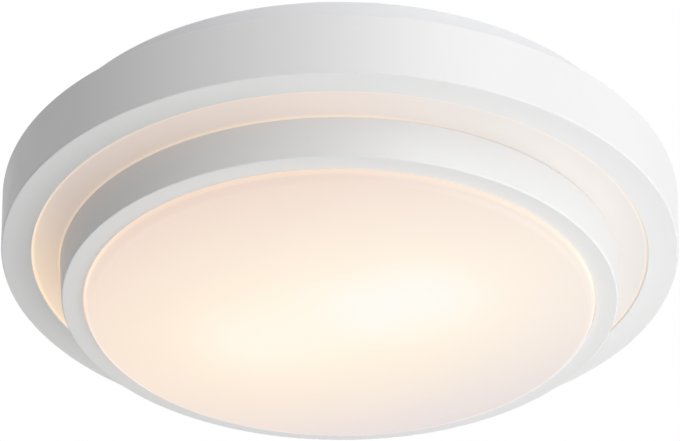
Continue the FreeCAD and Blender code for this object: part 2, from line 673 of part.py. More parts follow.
def make_bracket(label, turned_round):
    """Bent bracket: a foot on two bosses and a leg behind the lampholder."""
    body = new_body(label, turned_round)
    outer = "(holder_back + bracket_sheet)"
    leg_low = f"{LAMP_LEVEL} - bracket_below"
    extrude(body, "strip", [
        (f"{outer} - bracket_foot", BOSS_LOW),
        (f"{outer} - bracket_foot", f"{BOSS_LOW} - bracket_sheet"),
        ("holder_back", f"{BOSS_LOW} - bracket_sheet"),
        ("holder_back", leg_low),
        (outer, leg_low),
        (outer, BOSS_LOW),
    ], "bracket_width")
    hole = bar("screw_radius + screw_play", f"{BOSS_LOW} - bracket_sheet - {PAST}", f"{BOSS_LOW} + {PAST}")
    for index, place in enumerate(bracket_screw_places()):
        turn(body, f"foot_hole_{index}", hole, shift=place, cut=True)
    hole = lying_bar("screw_radius + screw_play", f"holder_back - {PAST}", f"{outer} + {PAST}")
    for index, place in enumerate(holder_screw_places()):
        turn(body, f"leg_hole_{index}", hole, axis="H_Axis", shift=place, cut=True)


def make_holder_screws(label, turned_round):
    """Screws through the bracket into the holder's back."""
    body = new_body(label, turned_round)
    seat = "(holder_back + bracket_sheet)"
    outline = [
        ("holder_back - holder_screw_depth + thread_play", "0"),
        (f"{seat} + screw_head_height - drive_depth", "0"),
        (f"{seat} + screw_head_height - drive_depth", "drive_radius"),
        (f"{seat} + screw_head_height", "drive_radius"),
        (f"{seat} + screw_head_height", "screw_head"),
        (seat, "screw_head"),
        (seat, "screw_radius"),
        ("holder_back - holder_screw_depth + thread_play", "screw_radius"),
    ]
    for index, place in enumerate(holder_screw_places()):
        turn(body, f"screw_{index}", outline, axis="H_Axis", shift=place)


def make_holder_shell(label, turned_round):
    """Insulating tube of a lampholder, open towards the middle of the light."""
    body = new_body(label, turned_round)
    tube = rectangle(HOLDER_MOUTH, "lamp_end", HOLDER_BORE, "holder_radius")
    turn(body, "tube", tube, axis="H_Axis", shift=("0", LAMP_LEVEL, "0"))


def make_holder_back(label, turned_round):
    """Insulating back of a lampholder, with the contact's pocket, screw holes and wire holes."""
    body = new_body(label, turned_round)
    collar_end = "(lamp_end + holder_collar)"
    turn(body, "back", [
        ("holder_back", "0"),
        ("holder_back", "holder_foot"),
        (f"{collar_end} + holder_radius - holder_foot", "holder_foot"),
        (collar_end, "holder_radius"),
        ("lamp_end", "holder_radius"),
        ("lamp_end", "contact_pocket"),
        (POCKET_FLOOR, "contact_pocket"),
        (POCKET_FLOOR, "0"),
    ], axis="H_Axis", shift=("0", LAMP_LEVEL, "0"))
    pilot_end = "holder_back - holder_screw_depth"
    hole = lying_bar("screw_radius + thread_play", pilot_end, f"holder_back + {PAST}")
    for index, place in enumerate(holder_screw_places()):
        turn(body, f"screw_hole_{index}", hole, axis="H_Axis", shift=place, cut=True)
    for name, side in (("upper", "1"), ("lower", "-1")):
        place = (WIRE_HOLE, f"{LAMP_LEVEL} + {side} * wire_spread / 2", "0")
        outline = circle("(wire_radius + wire_play)")
        extrude(body, f"{name}_wire_hole", outline, "2 * holder_radius", shift=place, cut=True)


def make_lamp_sleeve(label, turned_round):
    """Threaded metal sleeve in a lampholder, made as a plain tube."""
    body = new_body(label, turned_round)
    near = f"{HOLDER_MOUTH} + sleeve_wall"
    tube = rectangle(near, "lamp_end - sleeve_fit", SLEEVE_BORE, f"{SLEEVE_BORE} + sleeve_wall")
    turn(body, "tube", tube, axis="H_Axis", shift=("0", LAMP_LEVEL, "0"))


def make_holder_contact(label, turned_round):
    """Bent tongue that touches the lamp's centre contact."""
    body = new_body(label, turned_round)
    crest = "(lamp_end + contact_play)"
    extrude(body, "tongue", [
        (POCKET_FLOOR, "-contact_width"),
        (POCKET_FLOOR, "contact_width"),
        (f"{crest} + contact_sheet", "0"),
        (crest, "-contact_width / 2"),
        (f"{crest} + contact_sheet", "-contact_width / 2"),
        (f"{crest} + 2 * contact_sheet", "0"),
        (f"{POCKET_FLOOR} - contact_sheet", "contact_width - 2 * contact_sheet"),
        (f"{POCKET_FLOOR} - contact_sheet", "-contact_width"),
    ], "contact_width", shift=("0", LAMP_LEVEL, "0"))


def make_bulb_dome(label, turned_round):
    """Opal dome of a lamp, a shell of constant wall."""
    body = new_body(label, turned_round)
    turn(body, "dome", [
        ("lamp_tip", "0", "bulb_radius", "right"),
        (DOME_END, DOME_END_RADIUS),
        (DOME_END, DOME_END_INNER, DOME_INNER, "left"),
        ("lamp_tip + bulb_wall", "0"),
    ], axis="H_Axis", shift=("0", LAMP_LEVEL, "0"))


def make_bulb_housing(label, turned_round):
    """Tapered housing between a lamp's dome and its cap."""
    body = new_body(label, turned_round)
    band_end = f"({DOME_END} + housing_band)"
    turn(body, "housing", [
        (DOME_END, DOME_END_INNER),
        (DOME_END, DOME_END_RADIUS),
        (band_end, DOME_END_RADIUS),
        (CAP_START, "housing_neck"),
        (CAP_START, "housing_neck - bulb_wall"),
        (band_end, DOME_END_INNER),
    ], axis="H_Axis", shift=("0", LAMP_LEVEL, "0"))


def make_bulb_board(label, turned_round):
    """Round board that carries a lamp's light sources."""
    body = new_body(label, turned_round)
    face = f"({DOME_END} + board_setback)"
    disc = lying_bar(f"{DOME_END_INNER} - board_play", face, f"{face} + board_thickness")
    turn(body, "disc", disc, axis="H_Axis", shift=("0", LAMP_LEVEL, "0"))


def make_bulb_cap(label, turned_round):
    """Screw cap of a lamp; its thread is made as rounded ridges."""
    body = new_body(label, turned_round)
    outline = [(CAP_END, CAP_BORE), (CAP_START, CAP_BORE), (CAP_START, "cap_radius")]
    ridge_start = f"({CAP_START} + thread_pitch / 2)"
    outline.append((ridge_start, "cap_radius"))
    for ridge in range(int(measure("thread_turns"))):
        valley = f"({ridge_start} + {ridge} * thread_pitch)"
        outline.append((f"{valley} + thread_pitch / 3", "cap_root"))
        outline.append((f"{valley} + 2 * thread_pitch / 3", "cap_radius"))
        outline.append((f"{valley} + thread_pitch", "cap_radius"))
    outline.append((CAP_END, "cap_root"))
    turn(body, "shell", outline, axis="H_Axis", shift=("0", LAMP_LEVEL, "0"))


def make_bulb_insulator(label, turned_round):
    """Insulating plug at the end of a lamp's cap."""
    body = new_body(label, turned_round)
    hole = "tip_radius + tip_play"
    end = "(lamp_end - tip_length / 2)"
    turn(body, "plug", [
        (f"{end} - insulator_length", hole),
        (end, hole),
        (end, f"{hole} + insulator_length"),
        (CAP_END, f"{CAP_BORE} - cap_play"),
        (f"{end} - insulator_length", f"{CAP_BORE} - cap_play"),
    ], axis="H_Axis", shift=("0", LAMP_LEVEL, "0"))


def make_bulb_tip(label, turned_round):
    """Centre contact of a lamp."""
    body = new_body(label, turned_round)
    button = lying_bar("tip_radius", "lamp_end - tip_length", "lamp_end")
    turn(body, "button", button, axis="H_Axis", shift=("0", LAMP_LEVEL, "0"))


def make_outer_drum():
    """Sheet metal drum: rolled lip above, slightly tapered wall, flat rim below."""
    body = new_body("outer_drum")
    inner_round = "(drum_round - drum_sheet)"
    turn(body, "sheet", [
        (LIP_INNER, DRUM_TOP),
        (LIP_INNER, LIP_LOW),
        ("drum_top_radius - drum_round", LIP_LOW, inner_round, "right"),
        ("drum_top_radius - drum_sheet", f"{DRUM_TOP} - drum_round"),
        ("rim_radius - drum_sheet", f"{RIM_LEVEL} + drum_round", inner_round, "right"),
        ("rim_radius - drum_round", FLANGE_LOW),
        (RIM_INNER, FLANGE_LOW),
        (RIM_INNER, RIM_LEVEL),
        ("rim_radius - drum_round", RIM_LEVEL, "drum_round", "left"),
        ("rim_radius", f"{RIM_LEVEL} + drum_round"),
        ("drum_top_radius", f"{DRUM_TOP} - drum_round", "drum_round", "left"),
        ("drum_top_radius - drum_round", DRUM_TOP),
    ])


def make_strip_diffuser():
    """Outer opal moulding: flange on the rim, sloped strip and riser."""
    body = new_body("strip_diffuser")
    turn(body, "shell", [
        (RISER_FOOT, LEDGE_TOP),
        (RISER_TOP, f"{FLANGE_LOW} - strip_drop"),
        (STRIP_START, FLANGE_LOW),
        (FLANGE_RADIUS, FLANGE_LOW),
        (FLANGE_RADIUS, FLANGE_TOP),
        (STRIP_START, FLANGE_TOP),
        (f"{RISER_TOP} - diffuser_wall", f"{FLANGE_TOP} - strip_drop"),
        (f"{RISER_FOOT} - diffuser_wall", LEDGE_TOP),
    ])


def make_disc_diffuser():
    """Lower opal moulding: the disc and the ledge that is bonded under the riser."""
    body = new_body("disc_diffuser")
    inner_disc = f"({DISC_RADIUS} - diffuser_wall)"
    inner_low = f"({DISC_LOW} + diffuser_wall)"
    turn(body, "shell", [
        ("0", DISC_LOW),
        (f"{DISC_RADIUS} - disc_round", DISC_LOW, "disc_round", "left"),
        (DISC_RADIUS, f"{DISC_LOW} + disc_round"),
        (DISC_RADIUS, LEDGE_LOW),
        (RISER_FOOT, LEDGE_LOW),
        (RISER_FOOT, LEDGE_TOP),
        (inner_disc, LEDGE_TOP),
        (inner_disc, f"{inner_low} + disc_inner_round", "disc_inner_round", "right"),
        (f"{inner_disc} - disc_inner_round", inner_low),
        ("0", inner_low),
    ])
    hole = bar("ring_boss_radius + ring_boss_play", f"{LEDGE_LOW} - diffuser_wall", f"{LEDGE_TOP} + {PAST}")
    boss_hole = turn(body, "boss_hole", hole, shift=(RING_SCREW_CIRCLE, "0", "0"), cut=True)
    repeat_round(body, "boss_holes", boss_hole, "ring_screw_count")


def ring_top(radius):
    """Level of the ring's upper edge at a radius, just under the sloped strip."""
    slope = f"strip_drop * ({STRIP_START} - {radius}) / ({STRIP_START} - {RISER_TOP})"
    return f"{FLANGE_LOW} - {slope} - ring_clearance"


def make_inner_ring():
    """White sleeve round the riser, with a face round the disc and screw bosses behind it."""
    body = new_body("inner_ring")
    top_outer = "(ring_radius + ring_draft)"
    top_inner = "(ring_radius + ring_draft - ring_wall)"
    turn(body, "sleeve", [
        ("ring_mouth", LEDGE_LOW),
        ("ring_mouth", f"{RING_LOW} + mouth_round", "mouth_round", "left"),
        ("ring_mouth + mouth_round", RING_LOW),
        ("ring_radius - ring_round", RING_LOW, "ring_round", "left"),
        ("ring_radius", f"{RING_LOW} + ring_round"),
        (top_outer, ring_top(top_outer)),
        (top_inner, ring_top(top_inner)),
        ("ring_radius - ring_wall", LEDGE_LOW),
    ])
    place = (RING_SCREW_CIRCLE, "0", "0")
    stud = bar("ring_boss_radius", f"{LEDGE_LOW} - ring_wall / 2", RING_BOSS_TOP)
    boss = turn(body, "boss", stud, shift=place)
    repeat_round(body, "bosses", boss, "ring_screw_count")
    pilot_end = f"{LEDGE_TOP} - small_screw_length - thread_play"
    pilot = turn(body, "pilot", bar("small_screw_radius + thread_play", pilot_end, LEDGE_TOP),
                 shift=place, cut=True)
    repeat_round(body, "pilots", pilot, "ring_screw_count")


def make_ring_screws():
    """Screws on the disc's ledge that hold the inner ring by its bosses."""
    body = new_body("ring_screws")
    head_top = f"({LEDGE_TOP} + small_screw_height)"
    screw = turn(body, "screw", [
        ("0", f"{LEDGE_TOP} - small_screw_length"),
        ("small_screw_radius", f"{LEDGE_TOP} - small_screw_length"),
        ("small_screw_radius", LEDGE_TOP),
        ("small_screw_head", LEDGE_TOP),
        ("small_screw_head", head_top),
        ("drive_radius", head_top),
        ("drive_radius", f"{head_top} - drive_depth"),
        ("0", f"{head_top} - drive_depth"),
    ], shift=(RING_SCREW_CIRCLE, "0", "0"))
    repeat_round(body, "screws", screw, "ring_screw_count")


def make_diffuser_tabs():
    """Bent tabs on the drum's wall that press the diffuser's flange on the rim."""
    body = new_body("diffuser_tabs")
    leg_outer = "(rim_radius - drum_sheet - tab_play)"
    tab = extrude(body, "tab", [
        (f"{leg_outer} - tab_reach", FLANGE_TOP),
        (leg_outer, FLANGE_TOP),
        (leg_outer, f"{FLANGE_TOP} + tab_leg"),
        (f"{leg_outer} - tab_sheet", f"{FLANGE_TOP} + tab_leg"),
        (f"{leg_outer} - tab_sheet", f"{FLANGE_TOP} + tab_sheet"),
        (f"{leg_outer} - tab_reach", f"{FLANGE_TOP} + tab_sheet"),
    ], "tab_width")
    body.Placement = FreeCAD.Placement(
        FreeCAD.Vector(0, 0, 0), FreeCAD.Rotation(FreeCAD.Vector(0, 0, 1), TAB_TURN)
    )
    repeat_round(body, "tabs", tab, "tab_count")


def wire_route(shares, pole_sign, hole_side, side):
    """Points of one wire: the block's pole, points between, the holder's wire hole."""
    pole_y = measure(f"block_offset {pole_sign} pole_spacing / 2")
    pole_z = measure(f"{POLE_LEVEL} - wire_low")
    hole_x = measure(WIRE_HOLE)
    hole_z = measure(f"{LAMP_LEVEL} + {hole_side} * wire_spread / 2")
    begin = FreeCAD.Vector(measure("block_length / 2 - wire_inset"), pole_y, pole_z)
    lead = begin + FreeCAD.Vector(measure("wire_lead"), 0, 0)
    end = FreeCAD.Vector(hole_x, measure("wire_sink"), hole_z)
    tail = end + FreeCAD.Vector(0, measure("wire_tail"), 0)
    way = tail - lead
    between = [lead + FreeCAD.Vector(x * way.x, y * way.y, z * way.z) for x, y, z in shares]
    points = [begin, lead] + between + [tail, end]
    return [FreeCAD.Vector(side * point.x, point.y, point.z) for point in points]


def make_wire(label, points):
    """Round wire along straight runs joined by tangent arcs as large as the runs allow."""
    radius = measure("wire_radius")
    edges = []
    start = points[0]
    radii = []
    for before, corner, after in zip(points, points[1:], points[2:]):
        arriving = (corner - before).normalize()
        leaving = (after - corner).normalize()
        half_turn = arriving.getAngle(leaving) / 2
        run = min((corner - before).Length, (after - corner).Length)
        bend = BEND_SHARE * run / math.tan(half_turn)
        radii.append(round(bend, 1))
        first = corner - arriving * (BEND_SHARE * run)
        last = corner + leaving * (BEND_SHARE * run)
        inward = (leaving - arriving).normalize()
        middle = corner + inward * (bend / math.cos(half_turn) - bend)
        edges.append(Part.LineSegment(start, first).toShape())
        edges.append(Part.Arc(first, middle, last).toShape())
        start = last
    edges.append(Part.LineSegment(start, points[-1]).toShape())
    path = Part.Wire(edges)
    length = sum(edge.Length for edge in edges)
    section = Part.Wire(Part.makeCircle(radius, points[0], points[1] - points[0]))
    shape = path.makePipeShell([section], True, False)
    expected = math.pi * radius ** 2 * length
    if abs(shape.Volume - expected) > VOLUME_TOLERANCE * expected:
        raise RuntimeError(f"{label}: the swept volume is wrong")
    print(label, "length", round(length, 1), "bend radii", radii)
    wire = doc.addObject("Part::Feature", label)
    wire.Label = label
    wire.Shape = shape
    nodes.append(wire)


def make_wires():
    """Two wires from the terminal block to each lampholder."""
    for name, side in (("right", 1), ("left", -1)):
        make_wire(f"wire_upper_{name}", wire_route(UPPER_ROUTE, "-", "1", side))
        make_wire(f"wire_lower_{name}", wire_route(LOWER_ROUTE, "+", "-1", side))


def check_and_write():
    """Stop if anything failed, then write one file for each sub-part."""
    doc.recompute()
    for item in doc.Objects:
        if "Invalid" in item.State or "Error" in item.State:
            raise RuntimeError(f"{item.Name} failed: {item.State}")
    for sketch in doc.findObjects("Sketcher::SketchObject"):
        if not sketch.FullyConstrained:
            raise RuntimeError(f"{sketch.Name} isn't fully constrained")
    for node in nodes:
        if node.Shape.isNull() or not node.Shape.isValid() or not node.Shape.Solids:
            raise RuntimeError(f"{node.Label} has no valid shape")
    os.makedirs("parts", exist_ok=True)
    for node in nodes:
        node.Shape.exportStep(f"parts/{node.Label}.step")
        print(node.Label, "solids", len(node.Shape.Solids), "volume", round(node.Shape.Volume, 1))


make_base_plate()
make_pan_skirt()
make_ceiling_gasket()
make_cover_seal()
make_cable_grommet()
make_spring_clips()
make_clip_rivets()
make_terminal_block()
make_terminal_inserts()
make_terminal_screws()
make_terminal_fixing_screw()
make_bracket_screws()
for side_name, other_side in (("right", False), ("left", True)):
    make_bracket(f"bracket_{side_name}", other_side)
    make_holder_screws(f"holder_screws_{side_name}", other_side)
    make_holder_shell(f"holder_shell_{side_name}", other_side)
    make_holder_back(f"holder_back_{side_name}", other_side)
    make_lamp_sleeve(f"lamp_sleeve_{side_name}", other_side)
    make_holder_contact(f"holder_contact_{side_name}", other_side)
    make_bulb_dome(f"bulb_dome_{side_name}", other_side)
    make_bulb_housing(f"bulb_housing_{side_name}", other_side)
    make_bulb_board(f"bulb_board_{side_name}", other_side)
    make_bulb_cap(f"bulb_cap_{side_name}", other_side)
    make_bulb_insulator(f"bulb_insulator_{side_name}", other_side)
    make_bulb_tip(f"bulb_tip_{side_name}", other_side)
make_wires()
make_outer_drum()
make_strip_diffuser()
make_disc_diffuser()
make_inner_ring()
make_ring_screws()
make_diffuser_tabs()
check_and_write()
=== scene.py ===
"""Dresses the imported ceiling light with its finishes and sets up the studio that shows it."""

import logging
import math
from collections.abc import Callable
from dataclasses import dataclass
from enum import Enum
from functools import cache
from typing import ClassVar

import bpy
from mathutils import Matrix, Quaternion, Vector


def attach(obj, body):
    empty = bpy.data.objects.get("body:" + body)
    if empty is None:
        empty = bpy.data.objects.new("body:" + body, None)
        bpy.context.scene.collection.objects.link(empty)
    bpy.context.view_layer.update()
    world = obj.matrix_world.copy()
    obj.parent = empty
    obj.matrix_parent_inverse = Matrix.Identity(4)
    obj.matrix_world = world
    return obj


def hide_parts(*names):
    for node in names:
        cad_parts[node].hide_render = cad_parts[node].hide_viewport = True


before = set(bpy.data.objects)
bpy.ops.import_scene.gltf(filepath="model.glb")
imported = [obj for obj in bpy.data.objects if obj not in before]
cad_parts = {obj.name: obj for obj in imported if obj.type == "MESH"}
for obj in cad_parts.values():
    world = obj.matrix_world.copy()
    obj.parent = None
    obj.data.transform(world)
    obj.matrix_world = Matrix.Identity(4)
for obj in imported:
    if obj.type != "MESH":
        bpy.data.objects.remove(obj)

LOG = logging.getLogger("ceiling_light")

Color = tuple[float, float, float]
Point = tuple[float, float, float]
Socket = bpy.types.NodeSocket
Number = Socket | float
Tint = Socket | Color

# Millimetres in metres, and how near two points lie that count as one, in millimetres
MM = 0.001
SAME_PLACE = 0.01

# How closely a face's normal follows the way that it looks, and the span that holds most of a noise
SAME_WAY = 0.99
NOISE_LOW = 0.3
NOISE_HIGH = 0.7

# Places of the colour sockets on a mix node
MIX_SHARE = 0
MIX_FIRST = 6
MIX_SECOND = 7
MIX_RESULT = 2

UP = (0.0, 0.0, 1.0)
DOWN = (0.0, 0.0, -1.0)

# Level of the lamps' axis in millimetres, and the photograph's turn about the upright axis in degrees
LAMP_LEVEL = -36.0
PHOTO_TURN = 28.0


class Side(Enum):
    """The two ends of the lamp row."""

    RIGHT = "right"
    LEFT = "left"

    @property
    def outward(self) -> Point:
        """Way that leads outwards along the lamp row, as a unit vector."""
        return (1.0, 0.0, 0.0) if self is Side.RIGHT else (-1.0, 0.0, 0.0)

    def along(self, distance: float) -> float:
        """X of a place on the lamp row at a distance from the light's middle."""
        return self.outward[0] * distance


class Body(Enum):
    """The bodies that modelled pieces ride on."""

    BASE = "base"
    COVER = "cover"
    LAMP_RIGHT = "lamp_right"
    LAMP_LEFT = "lamp_left"


class Recess(Enum):
    """Drive of a screw, as the turns in degrees of the bars that are cut into its end."""

    SLOT = (0.0,)
    CROSS = (0.0, 90.0)


class Blend(Enum):
    """Ways to join two colours."""

    MIX = "MIX"
    ADD = "ADD"


class ShaderTree:
    """Node tree of one material, filled from its coordinates towards its shader."""

    def __init__(self, name: str) -> None:
        """Start a material with a Principled shader.

        Args:
            name: Name of the material.
        """
        self.material = bpy.data.materials.new(name)
        self.material.use_nodes = True
        self.nodes = self.material.node_tree.nodes
        self.links = self.material.node_tree.links
        self.shader = self.nodes["Principled BSDF"]
        self.place = self.add("TexCoord").outputs["Object"]

    def feed(self, target: Socket, value: Number | Color) -> None:
        """Link a socket to a target, or set a plain value on it.

        Args:
            target: Input that takes the value.
            value: Output to link, or a number or colour to set.
        """
        if isinstance(value, bpy.types.NodeSocket):
            self.links.new(value, target)
        elif isinstance(value, tuple):
            target.default_value = (*value, 1.0) if target.type == "RGBA" else value
        else:
            target.default_value = value

    def add(self, kind: str, **inputs: Number | Color) -> bpy.types.ShaderNode:
        """Add a node and feed its inputs.

        Args:
            kind: Kind of the node.
            inputs: Inputs by name, with underscores for spaces.

        Returns:
            The node.
        """
        node = self.nodes.new(f"ShaderNode{kind}")
        for name, value in inputs.items():
            self.feed(node.inputs[name.replace("_", " ")], value)
        return node

    def stretched(self, scale: Point) -> Socket:
        """Object coordinates, scaled along each axis."""
        return self.add("Mapping", Vector=self.place, Scale=scale).outputs["Vector"]

    def noise(self, scale: float, detail: float = 2.0, place: Socket | None = None) -> Socket:
        """Noise from 0 to 1, with so many features per metre and octaves of finer noise."""
        return self.add("TexNoise", Vector=place or self.place, Scale=scale, Detail=detail).outputs["Fac"]

    def cells(self, scale: float) -> Socket:
        """Distance to the nearest of many scattered points, with so many cells per metre."""
        return self.add("TexVoronoi", Vector=self.place, Scale=scale).outputs["Distance"]

    def math(self, operation: str, first: Number, second: Number = 0.0) -> Socket:
        """One step of arithmetic.

        Args:
            operation: Name of the operation.
            first: First value.
            second: Second value, where the operation has one.

        Returns:
            The result.
        """
        step = self.add("Math")
        step.operation = operation
        self.feed(step.inputs[0], first)
        self.feed(step.inputs[1], second)
        return step.outputs["Value"]

    def axes(self) -> tuple[Socket, Socket, Socket]:
        """X, Y and Z of the object's coordinates."""
        split = self.add("SeparateXYZ", Vector=self.place)
        return split.outputs["X"], split.outputs["Y"], split.outputs["Z"]

    def length(self, first: Socket, second: Socket) -> Socket:
        """Length of a flat vector.

        Args:
            first: Its first part.
            second: Its second part.

        Returns:
            The length.
        """
        joined = self.add("CombineXYZ", X=first, Y=second)
        measure = self.add("VectorMath", Vector=joined.outputs["Vector"])
        measure.operation = "LENGTH"
        return measure.outputs["Value"]

    def between(
        self, value: Socket, low: float, high: float, start: float = 0.0, end: float = 1.0
    ) -> Socket:
        """Map a value smoothly from one span to another, and hold it at the ends.

        Args:
            value: Value to map.
            low: Lower end of its span.
            high: Upper end of its span.
            start: Result at the lower end.
            end: Result at the upper end.

        Returns:
            The mapped value.
        """
        step = self.add("MapRange", Value=value, From_Min=low, From_Max=high, To_Min=start, To_Max=end)
        step.interpolation_type = "SMOOTHSTEP"
        return step.outputs["Result"]

    def mixed(self, share: Socket, first: Tint, second: Tint, blend: Blend = Blend.MIX) -> Socket:
        """Join two colours.

        Args:
            share: Share of the second colour.
            first: First colour.
            second: Second colour.
            blend: Whether that share takes the first colour's place or is added to it.

        Returns:
            The joined colour.
        """
        step = self.add("Mix")
        step.data_type = "RGBA"
        step.blend_type = blend.value
        self.feed(step.inputs[MIX_SHARE], share)
        self.feed(step.inputs[MIX_FIRST], first)
        self.feed(step.inputs[MIX_SECOND], second)
        return step.outputs[MIX_RESULT]

    def relief(self, height: Socket, depth: float) -> None:
        """Give the surface a fine relief, from a height between 0 and 1 and a depth in metres."""
        bump = self.add("Bump", Strength=1.0, Distance=depth, Height=height)
        self.set(Normal=bump.outputs["Normal"])

    def set(self, **values: Number | Color) -> None:
        """Feed the shader's inputs by their names, with underscores for spaces."""
        for name, value in values.items():
            self.feed(self.shader.inputs[name.replace("_", " ")], value)


@dataclass(frozen=True)
class Coat:
    """Smooth surface in two close shades, with uneven gloss and a fine grain. Depths are in metres."""

    name: str
    color: Color
    shade: Color
    roughness: float = 0.5
    grain_per_metre: float = 1800.0
    grain_depth: float = 0.00006
    grain_detail: float = 2.0
    clouds_per_metre: float = 14.0
    cloud_detail: float = 4.0
    patches_per_metre: float = 240.0
    patch_change: float = 0.02

    def material(self) -> bpy.types.Material:
        """Build the material.

        Returns:
            The material.
        """
        tree = ShaderTree(self.name)
        cloud = tree.noise(self.clouds_per_metre, self.cloud_detail)
        tree.set(Base_Color=tree.mixed(cloud, self.color, self.shade))
        patch = tree.noise(self.patches_per_metre)
        smoothest = self.roughness - self.patch_change
        roughest = self.roughness + self.patch_change
        tree.set(Roughness=tree.between(patch, NOISE_LOW, NOISE_HIGH, smoothest, roughest))
        tree.relief(tree.noise(self.grain_per_metre, self.grain_detail), self.grain_depth)
        self.light(tree)
        return tree.material

    def light(self, tree: ShaderTree) -> None:
        """Add light to the material's tree, on a coat that has light of its own."""


@dataclass(frozen=True)
class Lacquer(Coat):
    """Sprayed lacquer with a faint orange peel."""

    roughness: float = 0.42
    grain_per_metre: float = 700.0
    grain_depth: float = 0.00004
    grain_detail: float = 1.0
    clouds_per_metre: float = 9.0
    cloud_detail: float = 3.0
    patches_per_metre: float = 60.0
    patch_change: float = 0.04


@dataclass(frozen=True)
class Moulding(Coat):
    """Moulded plastic or ceramic with a fine eroded grain."""


@dataclass(frozen=True)
class Foam:
    """Closed-cell foam or soft rubber with open pores, painted darker inside as shade."""

    name: str
    color: Color
    pore_shade: Color
    pores_per_metre: float
    pore_depth: float
    roughness: float = 0.85
    pore_floor: float = 0.05
    pore_rim: float = 0.55

    def material(self) -> bpy.types.Material:
        """Build the material.

        Returns:
            The material.
        """
        tree = ShaderTree(self.name)
        # Pores are sunk by the relief and painted darker as shade
        pore = tree.between(tree.cells(self.pores_per_metre), self.pore_floor, self.pore_rim)
        tree.set(Base_Color=tree.mixed(pore, self.pore_shade, self.color), Roughness=self.roughness)
        tree.relief(pore, self.pore_depth)
        return tree.material


@dataclass(frozen=True)
class DrawnMetal:
    """Rolled or drawn metal with fine streaks along one axis and clouds of tarnish."""

    name: str
    color: Color
    tarnish: Color
    roughness: float
    streak_scale: Point
    streak_depth: float = 0.00002
    streak_low: float = 0.25
    streak_high: float = 0.75
    smoother: float = 0.08
    rougher: float = 0.1
    clouds_per_metre: float = 120.0
    cloud_low: float = 0.35
    cloud_high: float = 0.75
    detail: float = 3.0

    def material(self) -> bpy.types.Material:
        """Build the material.

        Returns:
            The material.
        """
        tree = ShaderTree(self.name)
        streak = tree.noise(1.0, self.detail, tree.stretched(self.streak_scale))
        cloud = tree.noise(self.clouds_per_metre, self.detail)
        cloud = tree.between(cloud, self.cloud_low, self.cloud_high)
        tree.set(Base_Color=tree.mixed(cloud, self.color, self.tarnish), Metallic=1.0)
        smoothest = self.roughness - self.smoother
        roughest = self.roughness + self.rougher
        tree.set(Roughness=tree.between(streak, self.streak_low, self.streak_high, smoothest, roughest))
        tree.relief(streak, self.streak_depth)
        return tree.material


@dataclass(frozen=True)
class Opal(Coat):
    """Milky plastic with a faint flow pattern, and a painted glow that each kind adds, which stands in
    for the lamps' light from behind.
    """

    roughness: float = 0.34
    grain_per_metre: float = 260.0
    grain_depth: float = 0.00003
    clouds_per_metre: float = 16.0
    cloud_detail: float = 3.0
    patches_per_metre: float = 40.0
    patch_change: float = 0.05
    gloss: float = 0.5

    def light(self, tree: ShaderTree) -> None:
        """Add the painted glow to the material's tree, as emission."""
        tree.set(Specular_IOR_Level=self.gloss)
        tree.set(Emission_Color=self.glow(tree), Emission_Strength=1.0)

    def glow(self, tree: ShaderTree) -> Socket:
        """Colour of the painted glow that stands in for the light that comes through, from the material's
        tree.
        """
        raise NotImplementedError


